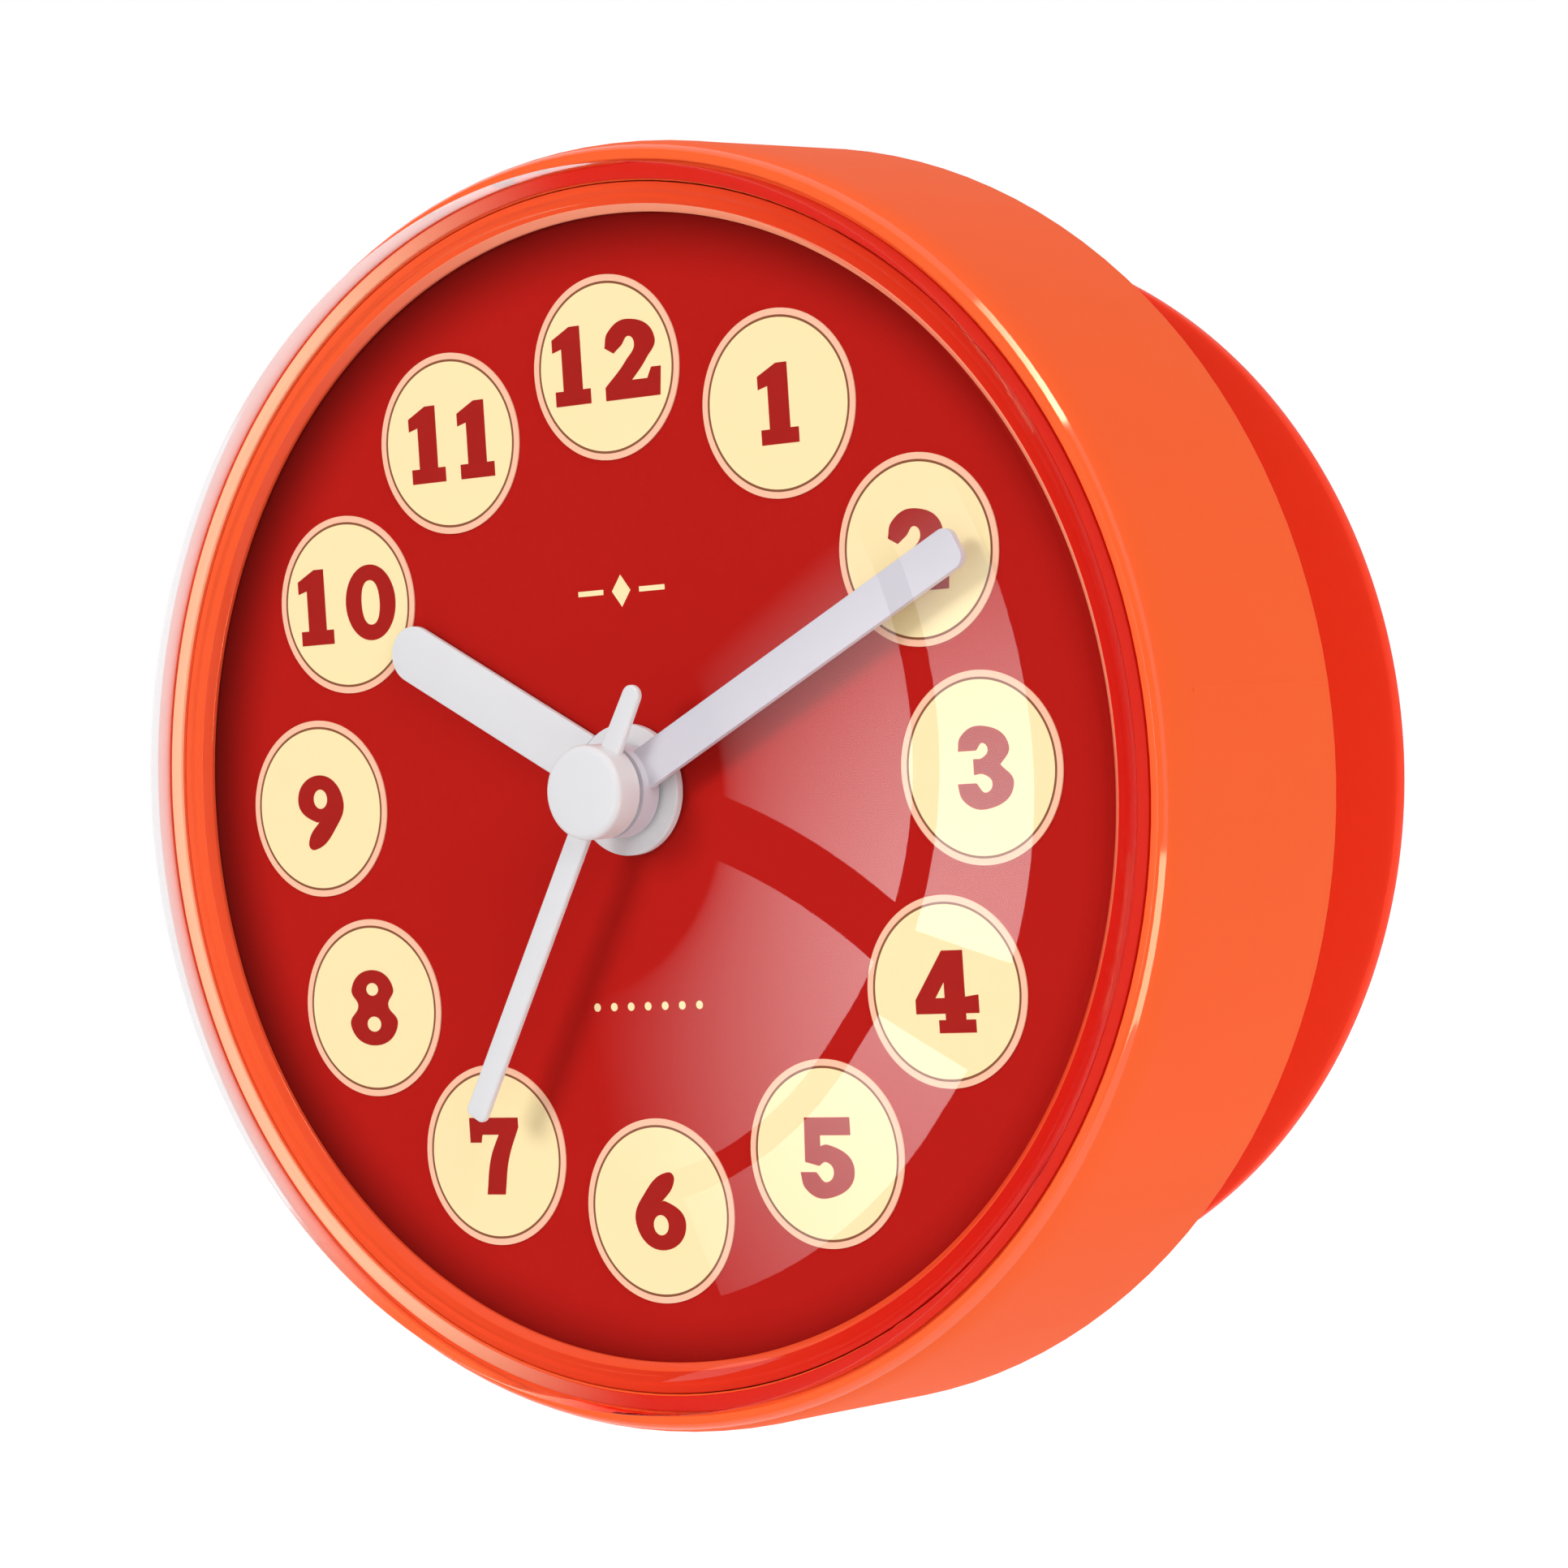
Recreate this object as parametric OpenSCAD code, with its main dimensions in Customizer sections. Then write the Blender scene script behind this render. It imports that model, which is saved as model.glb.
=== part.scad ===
// Round waterproof wall clock: domed lens, quartz movement for one AA cell, and one suction cup.
// Every piece is drawn with the wall at z = 0 and the dial facing +z, 12 o'clock at +y,
// and upright() then turns the clock so that the dial faces -Y with 12 o'clock at +Z.

/* [Suction cup] */
// Radius of the cup's rim on the wall
cup_r = 46; // [40:0.5:52]
// Thickness of the cup at its rim
cup_rim_t = 1.2; // [0.8:0.1:2]
// Width of the flat land that seals on the wall
cup_land_w = 6; // [3:0.5:8]
// Depth of the hollow behind the land
cup_hollow_h = 3.6; // [2:0.1:4.2]
// Height where the cup's back meets its neck
cup_shoulder_h = 8.6; // [7.6:0.1:9.6]
// Height of the neck's end above the wall
cup_h = 11.2; // [10:0.1:13]
// Outer radius of the neck
cup_neck_r = 14; // [13:0.1:16]
// How strongly the cup's back bulges
cup_bulge = 1.25; // [1:0.05:1.6]

/* [Swivel stem] */
// Radius of the stem's shaft
stem_r = 8; // [6:0.1:9]
// How far the stem's head stands out from the shaft
stem_head_w = 3; // [2:0.1:4]
// Thickness of the stem's head
stem_head_t = 2.4; // [1.6:0.1:3.5]
// How far the anchor flange in the cup stands out from the shaft
anchor_w = 3; // [2:0.1:4]
// Thickness of the anchor flange
anchor_t = 2; // [1.2:0.1:2.4]
// Cup material between the hollow and the anchor flange
anchor_floor = 1.4; // [1:0.1:1.8]
// Thickness of the retainer ring
retainer_t = 2; // [1.4:0.1:3]
// Width of the retainer ring outside the stem's head
retainer_w = 4; // [3.6:0.1:5]
// Number of retainer screws
retainer_screw_count = 3; // [3:1:6]
// Space between the cup's neck and the retainer ring
swivel_gap = 0.3; // [0.2:0.05:0.6]

/* [Rear cover] */
// Thickness of the cover's dished middle
cover_t = 2; // [1.6:0.1:3]
// Thickness of the cover's flange
flange_t = 1.8; // [1.4:0.1:2.6]
// Radius inside the cover's dish
dish_r = 30; // [24:0.5:34]
// Wall left between the stem's socket and the inside
boss_wall = 4.7; // [4.2:0.1:6]
// Wall of the boss round the retainer ring
boss_rim_w = 2; // [1.4:0.1:4]
// Width of the cover's thick outer rim
cover_rim_w = 2.9; // [2.6:0.1:4]
// Height of the cover's thick outer rim
cover_rim_h = 3; // [2.8:0.1:4]
// Radius of the rear seal's section
seal_r = 0.8; // [0.6:0.05:1]
// How far the cover sits inside the back edge of the case
cover_recess = 0.3; // [0.2:0.05:1]
// Space between the cover's flange and the movement
cover_gap = 0.6; // [0.4:0.05:1]
// Number of cover screws
cover_screw_count = 4; // [4:4:8]
// Radius of the screw posts
post_r = 3; // [2.6:0.1:3.6]

/* [Case] */
// Radius of the visible dial
dial_open_r = 46.2; // [45:0.1:52]
// Width of the glossy ring round the dial
ring_w = 2.35; // [1.8:0.05:3.5]
// Width of the seat under the lens
seat_w = 1.35; // [1.2:0.05:2.5]
// Gap between the lens edge and the lip of the case
lip_gap = 0.3; // [0.15:0.05:0.6]
// Width of the lip round the lens
lip_w = 0.6; // [0.4:0.05:1.2]
// Height of the lip above the lens seat
lip_h = 0.8; // [0.5:0.05:1.2]
// Radial size of the rounded front corner
corner_w = 1.1; // [0.8:0.05:2.5]
// Length of the rounded front corner
corner_len = 3.6; // [2.5:0.1:6]
// How far the wall flares out towards the back
case_flare = 0.6; // [0.2:0.05:2]
// Radius of the rounded back edge
back_round = 0.5; // [0.3:0.05:0.8]
// Wall thickness of the case
case_wall = 2.4; // [1.8:0.1:3]
// Thickness of the floor that carries the dial
floor_t = 2; // [1.4:0.1:3]

/* [Dial and lens] */
// Thickness of the dial
dial_t = 0.8; // [0.5:0.05:1.2]
// Thickness of the glossy ring
ring_t = 1.2; // [1:0.05:2]
// Height of the slope on the ring's inner edge
ring_slope_h = 0.45; // [0.2:0.05:0.6]
// Height of the bead on the ring's outer edge
ring_bead_h = 0.25; // [0.1:0.05:0.3]
// Width of that bead
ring_bead_w = 0.6; // [0.3:0.05:0.9]
// Thickness of the lens gasket
gasket_t = 0.4; // [0.2:0.05:0.6]
// Height of the lens edge
lens_edge_t = 2.8; // [2:0.1:4]
// Width of the flat rim of the lens
lens_rim_w = 2.8; // [2.4:0.1:3.2]
// Rounding of the lens edge
lens_round = 0.6; // [0.3:0.05:0.8]
// Thickness of the lens
lens_t = 2; // [1.5:0.1:2.4]
// Space between the second hand's cap and the lens
lens_gap = 1; // [0.7:0.1:3]
// Radius of the circle of hour badges
badge_pitch_r = 34; // [32:0.1:36]
// Radius of an hour badge
badge_r = 7.46; // [6:0.02:8.2]
// Thickness of an hour badge
badge_t = 0.15; // [0.1:0.01:0.2]

/* [Hands] */
// Angle of the hour hand, clockwise from 12
hour_angle = 299.5; // [0:0.5:360]
// Angle of the minute hand, clockwise from 12
minute_angle = 63.8; // [0:0.1:360]
// Angle of the second hand, clockwise from 12
second_angle = 209.7; // [0:0.1:360]
// Length of the hour hand
hour_len = 27.3; // [20:0.1:32]
// Length of the minute hand
minute_len = 38.8; // [30:0.1:42]
// Length of the second hand
second_len = 29.9; // [20:0.1:40]
// Length of the second hand's tail
second_tail = 9.4; // [7:0.1:14]
// Width of the hour hand
hour_w = 4.7; // [3:0.1:6]
// Width of the minute hand
minute_w = 3.3; // [2:0.1:5]
// Width of the second hand
second_w = 2.1; // [1:0.1:3]
// Thickness of the hour hand
hour_t = 0.8; // [0.6:0.05:1]
// Thickness of the minute and second hands
blade_t = 0.65; // [0.5:0.05:0.8]
// Radius of the hour hand's hub
hour_hub_r = 5.3; // [4.4:0.1:7]
// Radius of the minute hand's hub
minute_hub_r = 3.8; // [3.5:0.1:6]
// Radius of the second hand's cap
cap_r = 3.8; // [3:0.1:6]
// Height of the minute hand's hub
minute_hub_h = 1.95; // [1.6:0.05:3]
// Height of the second hand's cap
cap_h = 2.9; // [2:0.05:3.5]
// Space between the dial and the hour hand
hour_gap = 0.35; // [0.25:0.05:1]
// Space between one hand and the next
hand_gap = 0.4; // [0.3:0.05:1]

/* [Movement] */
// Diameter of the AA cell
battery_d = 14.5; // [13.5:0.1:14.5]
// Length of the AA cell with its nub
battery_len = 50.5; // [48:0.1:50.5]
// Length of the cell's nub
nub_len = 1; // [0.8:0.1:1.4]
// Radius of the cell's nub
nub_r = 2.75; // [2:0.05:3]
// Room for the spring of the minus contact
spring_len = 2.3; // [1.8:0.1:3]
// Width of the battery contacts
contact_w = 9; // [7:0.5:10]
// Thickness of the battery contacts
contact_t = 0.4; // [0.3:0.05:0.5]
// Wall thickness of the movement housing
mov_wall = 1.2; // [1:0.1:1.6]
// Thickness of the movement's front and back plates
plate_t = 1.2; // [1:0.1:1.6]
// Wall between the battery bay and the gears
bay_wall = 0.8; // [0.6:0.05:1]
// Space between the lowest wheel and that wall
wheel_room = 0.7; // [0.4:0.05:1.5]
// Corner radius of the movement housing
mov_round = 2; // [1:0.1:4]
// Outer radius of the centre bush
bush_r = 4; // [3.6:0.1:4.2]
// Thickness of the middle plate
mid_t = 0.8; // [0.6:0.05:1]
// Thickness of a wheel
gear_t = 0.8; // [0.6:0.05:0.9]
// Space between wheels that lie above each other
gear_gap = 0.6; // [0.4:0.05:0.65]
// Height of the setting knob
knob_h = 3.1; // [2.5:0.1:5]
// Radius of the setting knob
knob_r = 5; // [4:0.1:7]
// Space between the setting knob and the rear cover
knob_gap = 1.1; // [0.6:0.1:2]
// How far the fixing lugs stand out from the housing
lug_w = 6.5; // [6:0.1:7.5]
// Thickness of the fixing lugs
lug_t = 1.6; // [1.2:0.1:2]
// Distance of the fixing lugs from the middle line
lug_y = 14; // [10:0.5:20]

/* [Arbors and fits] */
// Radius of the thin arbors
arbor_r = 0.5; // [0.4:0.05:0.6]
// Radius of the rotor's arbor
rotor_arbor_r = 0.35; // [0.3:0.05:0.5]
// Radius of the setting shaft
setting_r = 1; // [0.8:0.05:1.2]
// Wall of the minute pipe
minute_pipe_wall = 1.05; // [0.8:0.05:1.2]
// Wall of the hour pipe
hour_pipe_wall = 0.85; // [0.7:0.05:1]
// Radial clearance of a running fit
run_gap = 0.05; // [0.03:0.01:0.09]
// Clearance between pieces that are fixed to each other
bond_gap = 0.02; // [0.01:0.01:0.05]
// Clearance between pieces that drop into each other
fit_gap = 0.1; // [0.05:0.05:0.2]
// Axial play of the swivel head
end_play = 0.1; // [0.05:0.05:0.2]

/* [Hidden] */
$fn = 96;

// Colours
case_orange = [0.95, 0.40, 0.22];
ring_orange = [0.87, 0.20, 0.10];
cup_red = [0.90, 0.20, 0.13];
dial_red = [0.72, 0.12, 0.10];
cream = [0.99, 0.90, 0.70];
hand_white = [0.90, 0.89, 0.91];
black_plastic = [0.10, 0.10, 0.11];
brass = [0.80, 0.64, 0.30];
steel = [0.72, 0.73, 0.75];

// Overlap that joins two shapes of one piece, and the reach of a cutting shape past a face
join = 0.2;
cut = 1;
full_turn = 360;

// Heights from the wall, one on top of the other
z_boss = cup_h + swivel_gap;
z_retainer = z_boss + retainer_t;
z_head = z_retainer + end_play;
z_socket = z_head + stem_head_t + end_play;
z_dish_in = z_socket + boss_wall;
z_dish_out = z_dish_in - cover_t;
z_knob = z_dish_in + knob_gap;
z_mov_back = z_knob + knob_h;
z_flange_in = z_mov_back - cover_gap;
z_flange_out = z_flange_in - flange_t;
z_case_back = z_flange_out - cover_recess;
battery_room = battery_d + 3 * fit_gap;
z_mov_front = z_mov_back + battery_room + plate_t;
z_floor = z_mov_front + floor_t;
z_dial = z_floor + dial_t;
z_seat = z_dial + ring_t;
z_lens = z_seat + gasket_t;
z_rim = z_lens + lens_edge_t;
z_hour = z_dial + hour_gap;
z_hour_top = z_hour + hour_t;
z_minute = z_hour_top + hand_gap;
z_minute_top = z_minute + minute_hub_h;
z_second = z_minute_top + hand_gap;
z_cap_top = z_second + cap_h;
z_apex = z_cap_top + lens_gap + lens_t;

// Radii of the case from the dial outwards
ring_r = dial_open_r + ring_w;
pocket_r = ring_r + fit_gap;
lens_r = pocket_r + seat_w;
lip_in_r = lens_r + lip_gap;
lip_out_r = lip_in_r + lip_w;
front_r = lip_out_r + corner_w;
case_r = front_r + case_flare;
bore_r = front_r - case_wall;
cover_r = bore_r - 2 * fit_gap;
cover_rim_in_r = cover_r - cover_rim_w;
post_pitch_r = cover_rim_in_r - post_r - 3 * fit_gap;

// Swivel stem and its socket
head_r = stem_r + stem_head_w;
anchor_r = stem_r + anchor_w;
z_anchor = cup_hollow_h + anchor_floor;
socket_r = head_r + run_gap;
retainer_r = head_r + retainer_w;
boss_r = retainer_r + fit_gap + boss_rim_w;
retainer_pitch_r = (socket_r + retainer_r) / 2;

// Screws: shank radius, shank length, head radius and head height
retainer_screw = [0.8, 4.6, 1.5, 1.2];
cover_screw = [1.25, 8, 2.7, 1.8];
movement_screw = [1, 5, 2, 1.4];
thread_gap = 0.05;
screw_end_room = 0.8;
slot_w_share = 0.4;

// Lens dome: the part of a sphere that reaches the rim
dome_step = 0.1;
dome_r = lens_r - lens_rim_w;
dome_h = z_apex - z_rim - dome_step;
sphere_r = (dome_r * dome_r + dome_h * dome_h) / (2 * dome_h);
lens_foot_r = dome_r - join;

// Gear train: tooth counts and the distances between axes
rotor_teeth = 10;
intermediate_teeth = 60;
intermediate_pinion = 10;
second_teeth = 50;
second_pinion = 8;
third_teeth = 60;
third_pinion = 8;
centre_teeth = 64;
cannon_teeth = 10;
minute_teeth = 30;
minute_pinion = 8;
hour_teeth = 32;
motor_distance = 8.75;
second_distance = 9;
centre_distance = 11.5;
motion_distance = 12.4;

// Tooth form as shares of the gear module and of the pitch
addendum = 0.6;
dedendum = 0.95;
tip_half_share = 0.09;
root_half_share = 0.2;

// Directions and places of the axes round the centre
minute_dir = 40;
third_dir = 150;
intermediate_dir = -20;
rotor_dir = 10;
minute_at = polar(motion_distance, minute_dir);
third_at = polar(centre_distance, third_dir);
intermediate_at = polar(second_distance, intermediate_dir);
rotor_at = intermediate_at + polar(motor_distance, rotor_dir);

// Teeth that stand in mesh with each other at rest
intermediate_pinion_phase = mesh_phase(intermediate_dir, 0, second_teeth, intermediate_pinion);
rotor_phase = mesh_phase(rotor_dir, 0, intermediate_teeth, rotor_teeth);
third_phase = mesh_phase(third_dir, 0, second_pinion, third_teeth);
centre_phase = mesh_phase(third_dir + 180, 0, third_pinion, centre_teeth);
minute_phase = mesh_phase(minute_dir, 0, cannon_teeth, minute_teeth);
hour_phase = mesh_phase(minute_dir + 180, 0, minute_pinion, hour_teeth);

// Movement: as wide as the cell and its contacts, with the battery bay below the lowest wheel
wheel_reach = tip_radius(intermediate_teeth, motor_distance, rotor_teeth) - intermediate_at[1];
chamber_bottom = -wheel_reach - wheel_room;
bay_h = battery_d + fit_gap;
bay_top = chamber_bottom - bay_wall;
inner_y = bay_h - bay_top;
inner_x = (battery_len + spring_len) / 2 + contact_t;
mov_half_x = inner_x + mov_wall;
mov_half_y = inner_y + mov_wall;
battery_y = bay_h / 2 - inner_y;
z_bay = z_mov_front - plate_t;
z_battery = z_bay - battery_d / 2 - fit_gap;
z_cover_in = z_mov_back + plate_t;
lug_x = mov_half_x + lug_w / 2;
lug_boss_r = 3;
lug_boss_h = 5;
z_lug = z_mov_front - lug_boss_h;

// Layers of wheels from the back of the movement to the front
z_layer1 = z_cover_in + gear_gap;
z_layer2 = z_layer1 + gear_t + gear_gap;
z_layer3 = z_layer2 + gear_t + gear_gap;
z_mid = z_layer3 + gear_t + gear_gap;
z_layer4 = z_mid + mid_t + gear_gap;
z_layer5 = z_layer4 + 2 * (gear_t + gear_gap);
z_layer6 = z_layer5 + gear_t + 2 * gear_gap;
z_pivot_back = z_mov_back + plate_t / 2;
z_pivot_front = z_bay + plate_t / 2;

// Pipes of the hands
minute_pipe_in_r = arbor_r + run_gap;
minute_pipe_r = minute_pipe_in_r + minute_pipe_wall;
hour_pipe_in_r = minute_pipe_r + run_gap;
hour_pipe_r = hour_pipe_in_r + hour_pipe_wall;
bush_bore_r = hour_pipe_r + run_gap;
pipe_collar_w = 0.9;
pipe_end_gap = 0.2;

// Motor: magnet, stator and coil
magnet_r = 3;
magnet_h = 1.6;
magnet_gap = 0.4;
stator_t = 0.8;
stator_pole_r = 5.6;
stator_gap = 0.2;
limb_w = 3;
z_stator = z_mid - stator_gap - stator_t;
coil_flange_t = 1;
coil_flange_r = 3.8;
coil_r = 3.4;
coil_core_r = 2.2;
coil_wall_gap = 0.5;
coil_pole_gap = 0.2;
coil_len = 16;
coil_end_gap = 0.8;
coil_x = inner_x - coil_flange_r - coil_wall_gap;
coil_from = rotor_at[1] + stator_pole_r + coil_pole_gap;
coil_to = coil_from + coil_len;
stator_top = coil_to + coil_end_gap + limb_w;
limb_x = rotor_at[0] - stator_pole_r + limb_w / 2;

// Circuit board along the top of the movement
board_t = 1;
board_h = 5.5;
board_edge_gap = 0.3;
board_rise = 2;
board_y = inner_y - board_edge_gap - board_h;
z_board = z_mid + board_rise;
blob_r = 4;
blob_h = 1.4;
blob_x = -12;
crystal_r = 1;
crystal_len = 6;
crystal_x = -4;
strip_w = 2;

// Middle plate and the studs that carry it
mid_left = -22;
mid_right = coil_x - coil_flange_r - fit_gap;
mid_top = 12.5;
stud_inset = 1.9;
stud_r = 1.6;
stud_pin_r = 0.8;
stud_pin_len = mid_t + fit_gap;
pivot_boss_r = 1.5;
mid_studs = [[mid_left + stud_inset, chamber_bottom + stud_inset],
    [mid_left + stud_inset, mid_top - stud_inset], [mid_right - stud_inset, chamber_bottom + stud_inset]];
board_studs = [[-20, board_y + board_h / 2], [12, board_y + board_h / 2]];

// Setting knob
knob_ribs = 24;
knob_rib_r = 0.45;
knob_clear = 0.2;

// Blades of the hands
hour_hub_gap = 0.1;
blade_rise = 0.6;
tail_tip_share = 0.8;
tip_round_share = 0.3;
round_steps = 12;

function polar(r, a) = [r * cos(a), r * sin(a)];

// Angle of a tooth of the driven gear that meshes with the driver at the given direction
function mesh_phase(dir, phase, teeth, driven) =
    dir + 180 + ((dir - phase) * teeth / full_turn + 0.5) * full_turn / driven;

function gear_module(teeth, distance, mate) = 2 * distance / (teeth + mate);

function tip_radius(teeth, distance, mate) = (teeth / 2 + addendum) * gear_module(teeth, distance, mate);

// Outline of a gear with straight-sided teeth
function gear_outline(teeth, distance, mate, phase) =
    let (tip = tip_radius(teeth, distance, mate), step = full_turn / teeth,
        root = tip - (addendum + dedendum) * gear_module(teeth, distance, mate),
        radii = [root, tip, tip, root],
        spread = [-root_half_share, -tip_half_share, tip_half_share, root_half_share])
    [for (i = [0 : teeth - 1], k = [0 : 3]) polar(radii[k], phase + (i + spread[k]) * step)];

// Points of a round stretch
function arc(centre, rx, rz, from, to, steps) =
    [for (i = [0 : steps]) let (a = from + (to - from) * i / steps) centre + [rx * cos(a), rz * sin(a)]];

// Outline of a rectangle with rounded corners
function rounded_box(half_x, half_y, r) =
    [for (q = [0 : 3], i = [0 : round_steps / 2]) let (a = 90 * (q + 2 * i / round_steps))
        [(half_x - r) * sign(cos(90 * q + 45)), (half_y - r) * sign(sin(90 * q + 45))] + polar(r, a)];

// Outline of a blade that points up from the centre
function blade_outline(w, length, tip_r) =
    concat([[-w / 2, 0], [w / 2, 0]],
        arc([w / 2 - tip_r, length - tip_r], tip_r, tip_r, 0, 90, round_steps),
        arc([tip_r - w / 2, length - tip_r], tip_r, tip_r, 90, 180, round_steps));

module upright() {
    rotate([90, 0, 0]) children();
}

module at(place, z) {
    translate([place[0], place[1], z]) children();
}

module disc(r, z0, z1) {
    translate([0, 0, z0]) cylinder(r = r, h = z1 - z0);
}

module tube(r, bore, z0, z1) {
    difference() {
        disc(r, z0, z1);
        disc(bore, z0 - cut, z1 + cut);
    }
}

module toothed(teeth, distance, mate, phase, z0, height, bore = 0) {
    translate([0, 0, z0]) linear_extrude(height) difference() {
        polygon(gear_outline(teeth, distance, mate, phase));
        if (bore > 0) circle(r = bore);
    }
}

// Screw that points to +z, with the underside of its head at z = 0 and a cross slot
module screw(sizes) {
    slot_w = sizes[0] * slot_w_share;
    difference() {
        union() {
            translate([0, 0, -join]) cylinder(r = sizes[0], h = sizes[1] + join);
            translate([0, 0, -sizes[3]]) cylinder(r = sizes[2], h = sizes[3]);
        }
        for (a = [0, 90]) rotate(a)
            translate([-sizes[2] / 2, -slot_w, -sizes[3] - cut])
                cube([sizes[2], 2 * slot_w, sizes[3] / 2 + cut]);
    }
}

module screw_hole(sizes, z) {
    translate([0, 0, z]) cylinder(r = sizes[0] + thread_gap, h = sizes[1] + screw_end_room);
}

module round_pattern(count, r) {
    for (i = [0 : count - 1]) rotate(full_turn * i / count) translate([r, 0, 0]) children();
}

module lug_pattern() {
    for (x = [-lug_x, lug_x], y = [-lug_y, lug_y]) translate([x, y, 0]) children();
}

module suction_cup() {
    land_r = cup_r - cup_land_w;
    back = [for (i = [1 : round_steps]) let (s = i / round_steps, rise = 1 - pow(1 - s, cup_bulge))
        [cup_r - (cup_r - cup_neck_r) * s, cup_rim_t + (cup_shoulder_h - cup_rim_t) * rise]];
    hollow = [for (i = [0 : round_steps]) let (s = i / round_steps)
        [land_r * s, cup_hollow_h * (1 - s * s)]];
    color(cup_red) upright() difference() {
        rotate_extrude() polygon(concat(hollow, [[cup_r, 0], [cup_r, cup_rim_t]], back,
            [[cup_neck_r, cup_h], [0, cup_h]]));
        disc(stem_r + bond_gap, z_anchor, cup_h + cut);
        disc(anchor_r + bond_gap, z_anchor - bond_gap, z_anchor + anchor_t + bond_gap);
    }
}

module cup_stem() {
    color(black_plastic) upright() {
        disc(stem_r, z_anchor, z_head + join);
        disc(anchor_r, z_anchor, z_anchor + anchor_t);
        disc(head_r, z_head, z_head + stem_head_t);
    }
}

module stem_retainer() {
    color(case_orange) upright() difference() {
        tube(retainer_r, stem_r + run_gap, z_boss, z_retainer);
        round_pattern(retainer_screw_count, retainer_pitch_r)
            disc(retainer_screw[0] + thread_gap, z_boss - cut, z_retainer + cut);
        round_pattern(retainer_screw_count, retainer_pitch_r)
            disc(retainer_screw[2] + fit_gap, z_boss - cut, z_boss + retainer_screw[3]);
    }
}

module retainer_screws() {
    color(steel) upright() round_pattern(retainer_screw_count, retainer_pitch_r)
        translate([0, 0, z_boss + retainer_screw[3]]) screw(retainer_screw);
}

module rear_cover() {
    rim_top = z_flange_out + cover_rim_h;
    seal_mid = z_flange_out + cover_rim_h / 2;
    groove_r = bore_r - 2 * seal_r - bond_gap;
    wall_r = dish_r + cover_t;
    outline = [[0, z_boss], [boss_r, z_boss], [boss_r, z_dish_out], [wall_r, z_dish_out],
        [wall_r, z_flange_out], [cover_r, z_flange_out], [cover_r, seal_mid - seal_r - bond_gap],
        [groove_r, seal_mid - seal_r - bond_gap], [groove_r, seal_mid + seal_r + bond_gap],
        [cover_r, seal_mid + seal_r + bond_gap], [cover_r, rim_top], [cover_rim_in_r, rim_top],
        [cover_rim_in_r, z_flange_in], [dish_r, z_flange_in], [dish_r, z_dish_in], [0, z_dish_in]];
    color(case_orange) upright() difference() {
        rotate_extrude() polygon(outline);
        disc(retainer_r + fit_gap, z_boss - cut, z_retainer);
        disc(socket_r, z_boss, z_socket);
        round_pattern(retainer_screw_count, retainer_pitch_r)
            screw_hole(retainer_screw, z_boss + retainer_screw[3]);
        round_pattern(cover_screw_count, post_pitch_r)
            disc(cover_screw[0] + thread_gap, z_flange_out - cut, z_flange_in + cut);
    }
}

module rear_seal() {
    color(black_plastic) upright() translate([0, 0, z_flange_out + cover_rim_h / 2])
        rotate_extrude() translate([bore_r - seal_r - bond_gap / 2, 0]) circle(r = seal_r, $fn = 32);
}

module cover_screws() {
    color(steel) upright() round_pattern(cover_screw_count, post_pitch_r)
        translate([0, 0, z_flange_out]) screw(cover_screw);
}

module front_case() {
    z_lip = z_seat + lip_h;
    corner_h = corner_len + lip_h;
    hole_r = bush_r + 2 * fit_gap;
    outline = concat([[bore_r, z_case_back]],
        arc([case_r - back_round, z_case_back + back_round], back_round, back_round, -90, 0, round_steps),
        arc([lip_out_r, z_lip - corner_h], corner_w, corner_h, 0, 90, round_steps),
        [[lip_in_r, z_lip], [lip_in_r, z_seat], [pocket_r, z_seat], [pocket_r, z_floor],
        [hole_r, z_floor], [hole_r, z_mov_front], [bore_r, z_mov_front]]);
    color(case_orange) upright() difference() {
        union() {
            rotate_extrude() polygon(outline);
            round_pattern(cover_screw_count, post_pitch_r) disc(post_r, z_flange_in, z_mov_front + join);
            lug_pattern() disc(lug_boss_r, z_lug, z_mov_front + join);
        }
        round_pattern(cover_screw_count, post_pitch_r) screw_hole(cover_screw, z_flange_in - flange_t);
        lug_pattern() screw_hole(movement_screw, z_lug - lug_t);
    }
}

module front_ring() {
    bead_top = z_seat;
    face = bead_top - ring_bead_h;
    bead_r = ring_r - ring_bead_w;
    color(ring_orange) upright() rotate_extrude() polygon([[dial_open_r, z_dial], [ring_r, z_dial],
        [ring_r, bead_top], [bead_r, bead_top], [bead_r - ring_bead_h, face],
        [dial_open_r + ring_slope_h, face], [dial_open_r, face - ring_slope_h]]);
}

module lens_gasket() {
    color(ring_orange) upright() tube(lens_r - fit_gap, pocket_r + fit_gap, z_seat, z_lens);
}

module lens() {
    sphere_z = z_apex - sphere_r;
    color([0.9, 0.95, 1, 0.3]) upright() {
        rotate_extrude() polygon(concat([[lens_foot_r, z_lens], [lens_r, z_lens]],
            arc([lens_r - lens_round, z_rim - lens_round], lens_round, lens_round, 0, 90, round_steps),
            [[lens_foot_r, z_rim]]));
        difference() {
            intersection() {
                translate([0, 0, sphere_z]) sphere(r = sphere_r);
                disc(dome_r, z_lens + join, z_apex + cut);
            }
            translate([0, 0, sphere_z]) sphere(r = sphere_r - lens_t);
        }
    }
}

module dial_plate() {
    color(dial_red) upright() tube(ring_r, bush_r + fit_gap, z_floor, z_dial);
}

module hour_badges() {
    color(cream) upright() round_pattern(12, badge_pitch_r)
        disc(badge_r, z_dial + bond_gap, z_dial + badge_t);
}

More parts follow.
